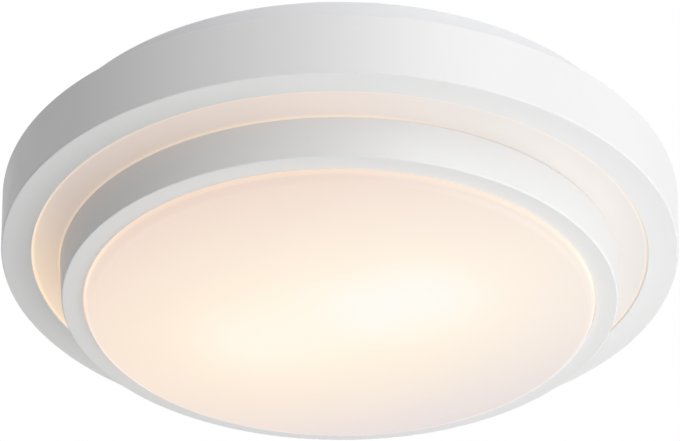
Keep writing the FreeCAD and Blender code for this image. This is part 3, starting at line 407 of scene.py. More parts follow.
@dataclass(frozen=True)
class DiscOpal(Opal):
    """Opal disc in front of a row of two lamps, with a painted glow, warmer on the left and paler on the
    right. Sizes are in millimetres.
    """

    row_half: float = 45.0
    row_fade: float = 54.0
    row_change: float = 18.0
    pool_long: float = 325.0
    pool_wide: float = 205.0
    reach: float = 270.0
    edge_radius: float = 128.0
    edge_low: float = -82.2
    edge_high: float = -80.6
    # Tints of the painted glow, fitted to what the studio light leaves, so they also hold painted light
    # and shade of the studio, such as the warm left and the pale right; the last is a painted line of
    # light round the shoulder
    edge_front: Color = (0.755, 0.54, 0.45)
    edge_back: Color = (0.565, 0.555, 0.65)
    pool_left: Color = (0.965, 0.785, 0.59)
    pool_right: Color = (0.95, 0.88, 0.755)
    lamp_left: Color = (0.905, 0.85, 0.73)
    lamp_right: Color = (0.885, 0.87, 0.80)
    painted_edge_light: Color = (0.07, 0.05, 0.01)

    def glow(self, tree: ShaderTree) -> Socket:
        """Painted glow: bright along the lamp row, fading in a wide pool, with a painted line of light
        round the shoulder.

        Args:
            tree: Tree of the material.

        Returns:
            The colour.
        """
        along, across, level = tree.axes()
        face = self.wide_glow(tree, along, across)
        face = self.lamp_glow(tree, along, across, face)
        # Painted line of light on the raised shoulder outside the edge radius
        outside = tree.math("GREATER_THAN", tree.length(along, across), self.edge_radius * MM)
        raised = tree.between(level, self.edge_low * MM, self.edge_high * MM)
        return tree.mixed(tree.math("MULTIPLY", outside, raised), face, self.painted_edge_light, Blend.ADD)

    def wide_glow(self, tree: ShaderTree, along: Socket, across: Socket) -> Socket:
        """Painted pool of glow in the middle, falling towards the edge.

        Args:
            tree: Tree of the material.
            along: Place along the lamp row.
            across: Place across it.

        Returns:
            The colour away from the lamps.
        """
        reach = self.reach * MM
        edge = tree.mixed(tree.between(across, -reach, reach), self.edge_front, self.edge_back)
        pool = tree.mixed(tree.between(along, -reach, reach), self.pool_left, self.pool_right)
        long_share = tree.math("DIVIDE", along, self.pool_long * MM)
        wide_share = tree.math("DIVIDE", across, self.pool_wide * MM)
        pool_share = tree.between(tree.length(long_share, wide_share), 0.0, 1.0, 1.0, 0.0)
        return tree.mixed(pool_share, edge, pool)

    def lamp_glow(self, tree: ShaderTree, along: Socket, across: Socket, face: Socket) -> Socket:
        """Painted glow of the lamps, falling with the distance from their row.

        Args:
            tree: Tree of the material.
            along: Place along the lamp row.
            across: Place across it.
            face: Colour away from the lamps.

        Returns:
            The colour with the lamps.
        """
        change = self.row_change * MM
        lamp = tree.mixed(tree.between(along, -change, change), self.lamp_left, self.lamp_right)
        past_row = tree.math("SUBTRACT", tree.math("ABSOLUTE", along), self.row_half * MM)
        from_row = tree.length(tree.math("MAXIMUM", past_row, 0.0), across)
        lamp_share = tree.between(from_row, 0.0, self.row_fade * MM, 1.0, 0.0)
        return tree.mixed(lamp_share, face, lamp)


@dataclass(frozen=True)
class StripOpal(Opal):
    """Opal strip round the lamps, with a painted glow and a painted line of light along its two edges.
    Sizes are in millimetres.
    """

    reach: float = 150.0
    left_end: float = 80.0
    right_end: float = 55.0
    outer_edge: float = 158.6
    inner_edge: float = 144.7
    edge_width: float = 1.2
    # Tints of the painted glow, fitted to what the studio light leaves, so they also hold painted light
    # and shade of the studio; the last is the painted light along the edges
    left: Color = (0.55, 0.39, 0.25)
    middle: Color = (0.385, 0.29, 0.235)
    right: Color = (0.25, 0.215, 0.195)
    edge: Color = (0.13, 0.09, 0.04)

    def glow(self, tree: ShaderTree) -> Socket:
        """Painted glow, warm and strong on the left and paler on the right, with a painted line of light
        along each edge.

        Args:
            tree: Tree of the material.

        Returns:
            The colour.
        """
        along, across, _ = tree.axes()
        reach = self.reach * MM
        width = self.edge_width * MM
        outer = self.outer_edge * MM
        inner = self.inner_edge * MM
        at_left = tree.between(along, -reach, -self.left_end * MM, 1.0, 0.0)
        at_right = tree.between(along, self.right_end * MM, reach)
        face = tree.mixed(at_right, tree.mixed(at_left, self.middle, self.left), self.right)
        # Painted lines of light along the outer edge, and along the inner edge except on the right
        radius = tree.length(along, across)
        near_outer = tree.between(radius, outer - width, outer)
        near_inner = tree.between(radius, inner, inner + width, 1.0, 0.0)
        left_share = tree.math("SUBTRACT", 1.0, at_right)
        near_edge = tree.math("MAXIMUM", near_outer, tree.math("MULTIPLY", near_inner, left_share))
        return tree.mixed(near_edge, face, self.edge, Blend.ADD)


@dataclass(frozen=True)
class LampOpal(Opal):
    """Opal dome of a lamp, brightest at its end. Sizes are in millimetres from the light's middle."""

    tip: float = 20.0
    foot: float = 62.0
    tip_glow: Color = (0.62, 0.56, 0.46)
    foot_glow: Color = (0.42, 0.34, 0.25)

    def glow(self, tree: ShaderTree) -> Socket:
        """Fading from the tip to the foot.

        Args:
            tree: Tree of the material.

        Returns:
            The colour.
        """
        along, _, _ = tree.axes()
        from_middle = tree.math("ABSOLUTE", along)
        to_foot = tree.between(from_middle, self.tip * MM, self.foot * MM)
        return tree.mixed(to_foot, self.tip_glow, self.foot_glow)


Finish = Coat | Foam | DrawnMetal

# Finishes of the moulded and lacquered pieces
WHITE_LACQUER = Lacquer("white_lacquer", (0.89, 0.89, 0.888), (0.87, 0.87, 0.868))
WHITE_PLASTIC = Moulding("white_plastic", (0.93, 0.933, 0.955), (0.915, 0.918, 0.94))
TERMINAL_PLASTIC = Moulding("terminal_plastic", (0.80, 0.80, 0.77), (0.76, 0.76, 0.73), roughness=0.42)
LAMP_PLASTIC = Moulding("lamp_plastic", (0.88, 0.88, 0.87), (0.85, 0.85, 0.84), roughness=0.38)
HOLDER_CERAMIC = Moulding(
    "holder_ceramic",
    (0.86, 0.85, 0.81),
    (0.80, 0.79, 0.75),
    roughness=0.6,
    grain_per_metre=900.0,
    grain_depth=0.0001,
)
INSULATOR = Moulding("insulator", (0.02, 0.02, 0.022), (0.03, 0.03, 0.03), roughness=0.25)
BOARD = Moulding("board_coating", (0.85, 0.86, 0.85), (0.80, 0.82, 0.80), roughness=0.35)
BROWN_WIRE = Moulding("brown_wire", (0.14, 0.06, 0.03), (0.11, 0.05, 0.025), roughness=0.4)
BLUE_WIRE = Moulding("blue_wire", (0.02, 0.06, 0.28), (0.016, 0.05, 0.23), roughness=0.4)

# Finishes of the seals
FOAM = Foam("foam", (0.07, 0.07, 0.075), (0.025, 0.025, 0.027), pores_per_metre=1200.0, pore_depth=0.0003)
GROMMET_RUBBER = Foam(
    "grommet_rubber",
    (0.33, 0.335, 0.34),
    (0.27, 0.275, 0.28),
    pores_per_metre=2500.0,
    pore_depth=0.00005,
    roughness=0.6,
)

# Finishes of the metal pieces, with their roughness and their streaks per metre along each axis
SPRING_STEEL = DrawnMetal("spring_steel", (0.52, 0.53, 0.55), (0.42, 0.43, 0.46), 0.28, (40, 40, 2500))
ZINC_STEEL = DrawnMetal("zinc_steel", (0.66, 0.67, 0.69), (0.58, 0.58, 0.56), 0.36, (300, 300, 900))
BRASS = DrawnMetal("brass", (0.70, 0.50, 0.19), (0.58, 0.40, 0.15), 0.3, (80, 900, 900))
NICKEL = DrawnMetal("nickel", (0.64, 0.63, 0.60), (0.56, 0.55, 0.52), 0.26, (900, 60, 60))
SOLDER = DrawnMetal("solder", (0.60, 0.60, 0.60), (0.50, 0.50, 0.49), 0.4, (500, 500, 500))

# Finishes of the lit pieces. The disc's own colour is kept dark, and its painted glow also stands in for
# the studio light that it would throw back
DISC_OPAL = DiscOpal("disc_opal", (0.08, 0.079, 0.077), (0.072, 0.071, 0.069), gloss=0.2)
STRIP_OPAL = StripOpal("strip_opal", (0.55, 0.545, 0.535), (0.54, 0.535, 0.525))
LAMP_OPAL = LampOpal("lamp_opal", (0.60, 0.59, 0.57), (0.58, 0.57, 0.55))


@cache
def material_of(finish: Finish) -> bpy.types.Material:
    """Material of a finish, built when it is first asked for."""
    return finish.material()


def dress(finish: Finish, *nodes: str) -> None:
    """Give CAD nodes a finish.

    Args:
        finish: Finish of their surfaces.
        nodes: Names of the nodes.
    """
    for name in nodes:
        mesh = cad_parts[name].data
        mesh.materials.clear()
        mesh.materials.append(material_of(finish))
        LOG.info("%s is finished in %s", name, finish.name)


def both(name: str) -> tuple[str, str]:
    """Names of the right node and the left one, from the name without its side."""
    return f"{name}_{Side.RIGHT.value}", f"{name}_{Side.LEFT.value}"


def stand_for(piece: bpy.types.Object, node: str, body: Body) -> None:
    """Let a modelled piece stand for a CAD node and ride on its body.

    Args:
        piece: Modelled piece.
        node: Name of the node.
        body: Body of the node.
    """
    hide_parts(node)
    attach(piece, body.value)
    LOG.info("%s has %d faces", piece.name, len(piece.data.polygons))


@dataclass(frozen=True)
class Corner:
    """Corner of a turned outline, with its rounding, all in millimetres."""

    radius: float
    level: float
    rounding: float = 0.0

    def holds(self, point: Vector) -> bool:
        """Tell whether a point of the mesh lies on this corner's circle.

        Args:
            point: Point of the mesh, in metres.

        Returns:
            True if it does.
        """
        across = math.hypot(point.x, point.y) / MM - self.radius
        up = point.z / MM - self.level
        return abs(across) < SAME_PLACE and abs(up) < SAME_PLACE


@dataclass(frozen=True)
class Lathe:
    """Turns outlines about the upright axis, one loop of edges after the other."""

    segments: int = 256
    round_steps: int = 5
    sharp_angle: float = math.radians(40.0)
    flat_weight: int = 100

    def turn(self, name: str, outline: list[Corner], solid: bool = False) -> bpy.types.Object:
        """Turn an outline into a mesh with rounded corners.

        Args:
            name: Name of the piece.
            outline: Corners in order. A ring's outline closes, a solid's starts and ends near the axis.
            solid: True if both ends are filled across the axis.

        Returns:
            The piece, at the origin.
        """
        piece = self.start(name, outline[0], solid)
        for before, corner in zip(outline, outline[1:]):
            self.draw_loop(before, corner)
        if solid:
            bpy.ops.mesh.edge_face_add()
            bpy.ops.mesh.poke()
        else:
            self.draw_loop(outline[-1], outline[0])
        bpy.ops.mesh.select_all(action="SELECT")
        bpy.ops.mesh.remove_doubles(threshold=SAME_PLACE * MM)
        bpy.ops.mesh.normals_make_consistent(inside=False)
        bpy.ops.object.mode_set(mode="OBJECT")
        self.round_corners(piece, outline)
        self.smooth(piece)
        return piece

    def start(self, name: str, corner: Corner, solid: bool) -> bpy.types.Object:
        """Begin with a circle, and stay in edit mode with its edge selected.

        Args:
            name: Name of the piece.
            corner: Corner that the circle stands for.
            solid: True if the circle is filled.

        Returns:
            The new object.
        """
        bpy.ops.object.select_all(action="DESELECT")
        fill = "TRIFAN" if solid else "NOTHING"
        radius = corner.radius * MM
        bpy.ops.mesh.primitive_circle_add(vertices=self.segments, radius=radius, fill_type=fill)
        piece = bpy.context.object
        piece.name = name
        piece.data.name = name
        bpy.ops.object.mode_set(mode="EDIT")
        bpy.ops.transform.translate(value=(0.0, 0.0, corner.level * MM))
        if solid:
            bpy.ops.mesh.region_to_loop()
        return piece

    def draw_loop(self, before: Corner, corner: Corner) -> None:
        """Extrude the selected loop from one corner to the next.

        Args:
            before: Corner where the loop is.
            corner: Corner where it goes.
        """
        rise = (0.0, 0.0, (corner.level - before.level) * MM)
        bpy.ops.mesh.extrude_edges_move(TRANSFORM_OT_translate={"value": rise})
        factor = corner.radius / before.radius
        bpy.ops.transform.resize(value=(factor, factor, 1.0))

    def round_corners(self, piece: bpy.types.Object, outline: list[Corner]) -> None:
        """Bevel each corner's loop by that corner's rounding.

        Args:
            piece: Turned piece.
            outline: Its corners.
        """
        widest = max(corner.rounding for corner in outline)
        rounded = [corner for corner in outline if corner.rounding > 0.0]
        mesh = piece.data
        weights = mesh.attributes.new("bevel_weight_edge", "FLOAT", "EDGE")
        for edge in mesh.edges:
            first, second = (mesh.vertices[index].co for index in edge.vertices)
            for corner in rounded:
                if corner.holds(first) and corner.holds(second):
                    weights.data[edge.index].value = corner.rounding / widest
        bevel = piece.modifiers.new("rounding", "BEVEL")
        bevel.limit_method = "WEIGHT"
        bevel.width = widest * MM
        bevel.segments = self.round_steps
        bpy.ops.object.modifier_apply(modifier=bevel.name)

    def smooth(self, piece: bpy.types.Object) -> None:
        """Shade the piece smooth, with its flats flat.

        Args:
            piece: Turned piece.
        """
        bpy.ops.object.shade_smooth_by_angle(angle=self.sharp_angle)
        flat = piece.modifiers.new("flats", "WEIGHTED_NORMAL")
        flat.keep_sharp = True
        flat.weight = self.flat_weight
        bpy.ops.object.modifier_apply(modifier=flat.name)


@dataclass
class TurnedPiece:
    """Turned piece that stands for one CAD node. All sizes are in millimetres."""

    node: ClassVar[str]
    body: ClassVar[Body]
    slot: ClassVar[str]
    solid: ClassVar[bool] = False

    def outline(self) -> list[Corner]:
        """Corners of the piece's outline, in order."""
        raise NotImplementedError

    def build(self, finish: Finish) -> None:
        """Turn the piece, finish it and let it ride on its body.

        Args:
            finish: Finish of its surface.
        """
        piece = Lathe().turn(f"turned_{self.node}", self.outline(), self.solid)
        piece.data.materials.append(material_of(finish))
        stand_for(piece, self.node, self.body)


@dataclass
class OuterDrum(TurnedPiece):
    """Drum of sheet metal, with a rolled lip above and a flat rim below."""

    node: ClassVar[str] = "outer_drum"
    body: ClassVar[Body] = Body.COVER
    slot: ClassVar[str] = "white_lacquer"
    top: float = -21.5
    rim: float = -54.5
    top_radius: float = 176.5
    rim_radius: float = 175.0
    lip_inner: float = 169.5
    rim_inner: float = 159.5
    sheet: float = 1.2
    rounding: float = 0.8
    edge: float = 0.36

    def outline(self) -> list[Corner]:
        """Draw the sheet, outside first.

        Returns:
            Its corners.
        """
        return [
            Corner(self.lip_inner, self.top, self.edge),
            Corner(self.top_radius, self.top, self.rounding),
            Corner(self.rim_radius, self.rim, self.rounding),
            Corner(self.rim_inner, self.rim, self.edge),
            Corner(self.rim_inner, self.rim + self.sheet, self.edge),
            Corner(self.rim_radius - self.sheet, self.rim + self.sheet),
            Corner(self.top_radius - self.sheet, self.top - self.sheet),
            Corner(self.lip_inner, self.top - self.sheet, self.edge),
        ]


@dataclass
class InnerRing(TurnedPiece):
    """White sleeve round the riser, with a face round the disc."""

    node: ClassVar[str] = "inner_ring"
    body: ClassVar[Body] = Body.COVER
    slot: ClassVar[str] = "white_lacquer"
    face: float = -79.5
    top: float = -58.5
    wall: float = 2.0
    top_fall: float = 0.72
    lower_radius: float = 142.6
    upper_radius: float = 144.6
    mouth_radius: float = 131.4
    outer_rounding: float = 0.8
    mouth_rounding: float = 0.6
    edge: float = 0.4

    def outline(self) -> list[Corner]:
        """Draw the ring, from the mouth outwards.

        Returns:
            Its corners.
        """
        return [
            Corner(self.mouth_radius, self.face + self.wall),
            Corner(self.mouth_radius, self.face, self.mouth_rounding),
            Corner(self.lower_radius, self.face, self.outer_rounding),
            Corner(self.upper_radius, self.top, self.edge),
            Corner(self.upper_radius - self.wall, self.top - self.top_fall, self.edge),
            Corner(self.lower_radius - self.wall, self.face + self.wall, self.edge),
        ]


@dataclass
class StripDiffuser(TurnedPiece):
    """Outer opal moulding: flange, sloped strip and riser."""

    node: ClassVar[str] = "strip_diffuser"
    body: ClassVar[Body] = Body.COVER
    slot: ClassVar[str] = "opal"
    flange_low: float = -53.3
    foot: float = -75.0
    wall: float = 2.5
    drop: float = 5.6
    flange_radius: float = 168.5
    strip_radius: float = 158.7
    riser_top: float = 142.1
    riser_foot: float = 140.1
    rounding: float = 0.5

    def outline(self) -> list[Corner]:
        """Draw the moulding, from the riser's foot outwards.

        Returns:
            Its corners.
        """
        flange_top = self.flange_low + self.wall
        return [
            Corner(self.riser_foot, self.foot),
            Corner(self.riser_top, self.flange_low - self.drop, self.rounding),
            Corner(self.strip_radius, self.flange_low, self.rounding),
            Corner(self.flange_radius, self.flange_low, self.rounding),
            Corner(self.flange_radius, flange_top, self.rounding),
            Corner(self.strip_radius, flange_top, self.rounding),
            Corner(self.riser_top - self.wall, flange_top - self.drop, self.rounding),
            Corner(self.riser_foot - self.wall, self.foot),
        ]


@dataclass
class DiscDiffuser(TurnedPiece):
    """Lower opal moulding: the disc and its ledge."""

    node: ClassVar[str] = "disc_diffuser"
    body: ClassVar[Body] = Body.COVER
    slot: ClassVar[str] = "opal"
    solid: ClassVar[bool] = True
    low: float = -84.5
    ledge_low: float = -77.5
    wall: float = 2.5
    disc_radius: float = 130.6
    ledge_radius: float = 140.1
    rounding: float = 4.0
    inner_rounding: float = 1.5
    ledge_rounding: float = 0.75
    loop_radii: tuple[float, ...] = (30.0, 60.0, 90.0)

    def outline(self) -> list[Corner]:
        """Draw the disc from the middle of its lower face round to the middle of its upper face.

        Returns:
            Its corners.
        """
        high = self.low + self.wall
        ledge_top = self.ledge_low + self.wall
        below = [Corner(radius, self.low) for radius in self.loop_radii]
        above = [Corner(radius, high) for radius in reversed(self.loop_radii)]
        edge = [
            Corner(self.disc_radius, self.low, self.rounding),
            Corner(self.disc_radius, self.ledge_low),
            Corner(self.ledge_radius, self.ledge_low),
            Corner(self.ledge_radius, ledge_top),
            Corner(self.disc_radius - self.wall, ledge_top, self.ledge_rounding),
            Corner(self.disc_radius - self.wall, high, self.inner_rounding),
        ]
        return below + edge + above


@dataclass
class PanSkirt(TurnedPiece):
    """Wall of the pan against the ceiling, with its flange."""

    node: ClassVar[str] = "pan_skirt"
    body: ClassVar[Body] = Body.BASE
    slot: ClassVar[str] = "white_plastic"
    low: float = -47.8
    wall: float = 2.5
    radius: float = 158.5
    flange_radius: float = 164.5
    hook_reach: float = 2.0
    hook_sheet: float = 1.2
    rounding: float = 2.0
    edge: float = 0.75

    def outline(self) -> list[Corner]:
        """Draw the wall, from the ceiling inside down and round.

        Returns:
            Its corners.
        """
        inner = self.radius - self.wall
        return [
            Corner(inner - self.hook_reach, 0.0),
            Corner(inner - self.hook_reach, -self.hook_sheet),
            Corner(inner, -self.hook_sheet),
            Corner(inner, self.low, self.edge),
            Corner(self.flange_radius, self.low, self.edge),
            Corner(self.flange_radius, self.low + self.wall, self.edge),
            Corner(self.radius, self.low + self.wall, self.edge),
            Corner(self.radius, 0.0, self.rounding),
        ]


@dataclass(frozen=True)
class Place:
    """Where a copy of a modelled piece stands, in millimetres, and its CAD node and body."""

    node: str
    body: Body
    seat: Point
    facing: Point


def only(piece: bpy.types.Object) -> None:
    """Select one piece and no other.

    Args:
        piece: Piece to select.
    """
    bpy.ops.object.select_all(action="DESELECT")
    piece.select_set(True)
    bpy.context.view_layer.objects.active = piece


def select_faces(piece: bpy.types.Object, chosen: Callable[[bpy.types.MeshPolygon], bool]) -> None:
    """Go into edit mode with only some faces selected.

    Args:
        piece: Piece to work on.
        chosen: Tells whether a face is one of them.
    """
    bpy.ops.object.mode_set(mode="EDIT")
    bpy.ops.mesh.select_mode(type="FACE")
    bpy.ops.mesh.select_all(action="DESELECT")
    bpy.ops.object.mode_set(mode="OBJECT")
    for face in piece.data.polygons:
        face.select = chosen(face)
    bpy.ops.object.mode_set(mode="EDIT")


def select_flat(piece: bpy.types.Object, facing: Point, level: float) -> None:
    """Go into edit mode with only the flat faces selected that look up or down at one level.

    Args:
        piece: Piece to work on.
        facing: Way that the faces look.
        level: Height of the faces, in millimetres.
    """
    way = Vector(facing)
    select_faces(
        piece,
        lambda face: face.normal.dot(way) > SAME_WAY and abs(face.center.z / MM - level) < SAME_PLACE,
    )


def cut_away(piece: bpy.types.Object, cutter: bpy.types.Object) -> None:
    """Cut one piece's shape out of another, and remove the cutter.

    Args:
        piece: Piece to cut.
        cutter: Piece that is cut out of it.
    """
    only(piece)
    cut = piece.modifiers.new("cut", "BOOLEAN")
    cut.operation = "DIFFERENCE"
    cut.solver = "EXACT"
    cut.object = cutter
    bpy.ops.object.modifier_apply(modifier=cut.name)
    bpy.data.objects.remove(cutter)


def set_out(model: bpy.types.Object, finish: Finish, places: list[Place]) -> None:
    """Copy a modelled piece to its places, and remove the model.

    Args:
        model: Piece at the origin, facing up.
        finish: Finish of its surface.
        places: Where the copies stand.
    """
    model.data.materials.append(material_of(finish))
    for number, place in enumerate(places, 1):
        copy = model.copy()
        copy.data = model.data.copy()
        copy.name = f"{place.node}_{number}"
        copy.data.name = copy.name
        bpy.context.scene.collection.objects.link(copy)
        copy.location = Vector(place.seat) * MM
        copy.rotation_mode = "QUATERNION"
        copy.rotation_quaternion = Vector(place.facing).to_track_quat("Z", "Y")
        only(copy)
        bpy.ops.object.transform_apply(location=True, rotation=True, scale=True)
        stand_for(copy, place.node, place.body)
    bpy.data.objects.remove(model)


@dataclass(frozen=True)
class HeadedScrew:
    """Screw with a rounded head. Sizes are in millimetres, recess and rounding in shares of the head."""

    head_radius: float = 2.8
    head_height: float = 2.0
    shank_radius: float = 1.5
    shank_length: float = 8.4
    recess: Recess = Recess.CROSS
    recess_reach: float = 0.56
    recess_width: float = 0.2
    recess_depth: float = 0.5
    recess_taper: float = 0.7
    head_round: float = 0.6
    point_share: float = 0.5
    sides: int = 32
    round_steps: int = 4

    def model(self) -> bpy.types.Object:
        """Model one screw with its seat at the origin and its head up.

        Returns:
            The screw.
        """
        bpy.ops.object.select_all(action="DESELECT")
        bpy.ops.mesh.primitive_cylinder_add(
            vertices=self.sides,
            radius=self.head_radius * MM,
            depth=self.head_height * MM,
            location=(0.0, 0.0, 0.5 * self.head_height * MM),
        )
        screw = bpy.context.object
        bpy.ops.object.transform_apply(location=True, rotation=False, scale=False)
        self.draw_shank(screw)
        self.round_head(screw)
        for turn in self.recess.value:
            cut_away(screw, self.bar(turn))
        bpy.ops.object.shade_smooth_by_angle(angle=Lathe.sharp_angle)
        return screw

    def draw_shank(self, screw: bpy.types.Object) -> None:
        """Draw the shank down from the head's seat, with a narrow end.

        Args:
            screw: Screw in the making.
        """
        point = self.point_share * self.shank_radius
        select_flat(screw, DOWN, 0.0)
        bpy.ops.mesh.inset(thickness=(self.head_radius - self.shank_radius) * MM)
        shank = (0.0, 0.0, (point - self.shank_length) * MM)
        bpy.ops.mesh.extrude_region_move(TRANSFORM_OT_translate={"value": shank})
        bpy.ops.mesh.extrude_region_move(TRANSFORM_OT_translate={"value": (0.0, 0.0, -point * MM)})
        bpy.ops.transform.resize(value=(self.point_share, self.point_share, 1.0))
        bpy.ops.object.mode_set(mode="OBJECT")

    def round_head(self, screw: bpy.types.Object) -> None:
        """Round the head's upper edge.

        Args:
            screw: Screw in the making.
        """
        select_flat(screw, UP, self.head_height)
        bpy.ops.mesh.region_to_loop()
        bpy.ops.mesh.bevel(offset=self.head_round * self.head_height * MM, segments=self.round_steps)
        bpy.ops.object.mode_set(mode="OBJECT")

    def bar(self, turn: float) -> bpy.types.Object:
        """Model a bar that narrows downwards, to cut one arm pair of the recess.

        Args:
            turn: Turn of the bar, in degrees.

        Returns:
            The bar.
        """
        reach = 2.0 * self.recess_reach * self.head_radius
        width = self.recess_width * self.head_radius
        depth = self.recess_depth * self.head_height
        top = (0.0, 0.0, self.head_height * MM)
        bpy.ops.object.select_all(action="DESELECT")
        bpy.ops.mesh.primitive_cube_add(size=reach * MM, location=top)
        bar = bpy.context.object
        bpy.ops.object.transform_apply(location=True, rotation=False, scale=False)
        bpy.ops.object.mode_set(mode="EDIT")
        bpy.ops.mesh.select_all(action="SELECT")
        slim = (1.0, width / reach, 2.0 * depth / reach)
        bpy.ops.transform.resize(value=slim, center_override=top)
        bpy.ops.transform.rotate(value=math.radians(turn), orient_axis="Z", center_override=top)
        bpy.ops.object.mode_set(mode="OBJECT")
        select_flat(bar, DOWN, self.head_height - depth)
        bpy.ops.transform.resize(value=(self.recess_taper, self.recess_taper, 1.0))
        bpy.ops.object.mode_set(mode="OBJECT")
        return bar


# The kinds of screws, the first with the usual sizes
BRACKET_SCREW = HeadedScrew()
HOLDER_SCREW = HeadedScrew(shank_length=10.4)
BLOCK_SCREW = HeadedScrew(shank_length=18.9)
RING_SCREW = HeadedScrew(head_radius=2.2, head_height=1.6, shank_radius=0.8, shank_length=3.0)
CLAMP_SCREW = HeadedScrew(
    head_radius=1.5,
    head_height=1.2,
    shank_radius=1.3,
    shank_length=3.85,
    recess=Recess.SLOT,
    recess_reach=1.1,
    recess_width=0.3,
    recess_depth=0.7,
    recess_taper=1.0,
    head_round=0.2,
)


@dataclass
class Fastenings:
    """All the screws of the light. All sizes are in millimetres."""

    bracket_middle: Point = (0.0, 0.0, -10.5)
    bracket_out: float = 127.5
    bracket_half: float = 9.0
    holder_seat: float = 147.5
    holder_half: float = 8.0
    block_seat: Point = (0.0, 48.0, -21.0)
    clamp_middle: Point = (0.0, 48.0, -20.8)
    clamp_along: float = 8.0
    clamp_across: float = 5.5
    ring_seat: float = -75.0
    ring_circle: float = 134.1
    ring_count: int = 6

    def build(self, finish: Finish) -> None:
        """Model each kind of screw and copy it to its places.

        Args:
            finish: Finish of the screws.
        """
        feet = self.rectangle("bracket_screws", self.bracket_middle, self.bracket_out, self.bracket_half)
        clamps = self.rectangle("terminal_screws", self.clamp_middle, self.clamp_along, self.clamp_across)
        block = Place("terminal_fixing_screw", Body.BASE, self.block_seat, DOWN)
        set_out(BRACKET_SCREW.model(), finish, feet)
        set_out(HOLDER_SCREW.model(), finish, self.holder_places())
        set_out(BLOCK_SCREW.model(), finish, [block])
        set_out(CLAMP_SCREW.model(), finish, clamps)
        set_out(RING_SCREW.model(), finish, self.ring_places())

    def rectangle(self, node: str, middle: Point, out: float, half: float) -> list[Place]:
        """Set four screws in a rectangle, facing down.

        Args:
            node: Node of the screws.
            middle: Middle of the rectangle.
            out: Distance from the middle along the lamp row.
            half: Distance from the middle across it.

        Returns:
            Their places.
        """
        return [
            Place(node, Body.BASE, (along, middle[1] + across, middle[2]), DOWN)
            for along in (-out, out)
            for across in (-half, half)
        ]

    def holder_places(self) -> list[Place]:
        """Find the screws behind the lampholders.

        Returns:
            Two places for each lampholder.
        """
        return [
            Place(
                f"holder_screws_{side.value}",
                Body.BASE,
                (side.along(self.holder_seat), across, LAMP_LEVEL),
                side.outward,
            )
            for side in Side
            for across in (-self.holder_half, self.holder_half)
        ]

    def ring_places(self) -> list[Place]:
        """Find the screws round the diffuser's ledge.

        Returns:
            Their places.
        """
        places = []
        for number in range(self.ring_count):
            turn = number * math.tau / self.ring_count
            seat = (self.ring_circle * math.cos(turn), self.ring_circle * math.sin(turn), self.ring_seat)
            places.append(Place("ring_screws", Body.COVER, seat, UP))
        return places


@dataclass
class ThreadedCaps:
    """Rolled metal caps of the two lamps, with their round thread. All sizes are in millimetres."""

    start: float = 101.0
    length: float = 23.7
    crest: float = 13.2
    root: float = 12.4
    bore: float = 11.3
    edge: float = 0.2
    collar: float = 2.6
    shoulder: float = 2.2
    pitch: float = 3.62
    turns: float = 4.5
    thread_start: float = 2.6
    ridge_half: float = 0.4
    steps_per_turn: int = 64
    section_sides: int = 16
    run_out: float = 0.92
    sides: int = 128

    def build(self, finish: Finish) -> None:
        """Model a cap and copy it to both lamps.

        Args:
            finish: Finish of the caps.
        """
        cap = Lathe(segments=self.sides).turn("cap", self.outline())
        thread = self.thread()
        only(cap)
        thread.select_set(True)
        bpy.ops.object.join()
        places = [
            Place(
                f"bulb_cap_{side.value}",
                Body(f"lamp_{side.value}"),
                (side.along(self.start), 0.0, LAMP_LEVEL),
                side.outward,
            )
            for side in Side
        ]
        set_out(cap, finish, places)

    def outline(self) -> list[Corner]:
        """Draw the sleeve without its thread, from the lamp's housing to the insulator.

        Returns:
            Its corners.
        """
        return [
            Corner(self.bore, 0.0),
            Corner(self.crest, 0.0, self.edge),
            Corner(self.crest, self.collar, self.edge),
            Corner(self.root, self.collar + self.crest - self.root, self.edge),
            Corner(self.root, self.length - self.shoulder, 2.0 * self.edge),
            Corner(self.bore + 2.0 * self.edge, self.length, self.edge),
            Corner(self.bore, self.length),
        ]

    def thread(self) -> bpy.types.Object:
        """Model the right-handed thread as a ridge with a round section, which runs out at both ends.

        Returns:
            The thread, with its axis upright.
        """
        bpy.ops.object.select_all(action="DESELECT")
        depth = self.crest - self.root
        middle = (self.root * MM, 0.0, self.thread_start * MM)
        upright = (math.radians(90.0), 0.0, 0.0)
        bpy.ops.mesh.primitive_circle_add(
            vertices=self.section_sides, radius=depth * MM, location=middle, rotation=upright
        )
        thread = bpy.context.object
        bpy.ops.object.transform_apply(location=True, rotation=True, scale=False)
        bpy.ops.object.mode_set(mode="EDIT")
        bpy.ops.mesh.select_all(action="SELECT")
        tall = (1.0, 1.0, self.ridge_half * self.pitch / depth)
        bpy.ops.transform.resize(value=tall, center_override=middle)
        bpy.ops.object.mode_set(mode="OBJECT")
        wind = thread.modifiers.new("wind", "SCREW")
        wind.axis = "Z"
        wind.angle = self.turns * math.tau
        wind.screw_offset = self.turns * self.pitch * MM
        wind.steps = round(self.turns * self.steps_per_turn)
        wind.use_merge_vertices = False
        bpy.ops.object.modifier_apply(modifier=wind.name)
        self.close_ends(thread)
        bpy.ops.object.shade_smooth_by_angle(angle=Lathe.sharp_angle)
        return thread

    def close_ends(self, thread: bpy.types.Object) -> None:
        """Fill both ends of the ridge and sink them into the sleeve.

        Args:
            thread: Wound ridge.
        """
        bpy.ops.object.mode_set(mode="EDIT")
        bpy.ops.mesh.select_all(action="SELECT")
        bpy.ops.mesh.fill_holes(sides=self.section_sides)
        bpy.ops.mesh.normals_make_consistent(inside=False)
        bpy.ops.object.mode_set(mode="OBJECT")
        select_faces(thread, lambda face: len(face.vertices) == self.section_sides)
        inward = (self.run_out, self.run_out, 1.0)
        bpy.ops.transform.resize(value=inward, center_override=(0.0, 0.0, 0.0))
        bpy.ops.object.mode_set(mode="OBJECT")


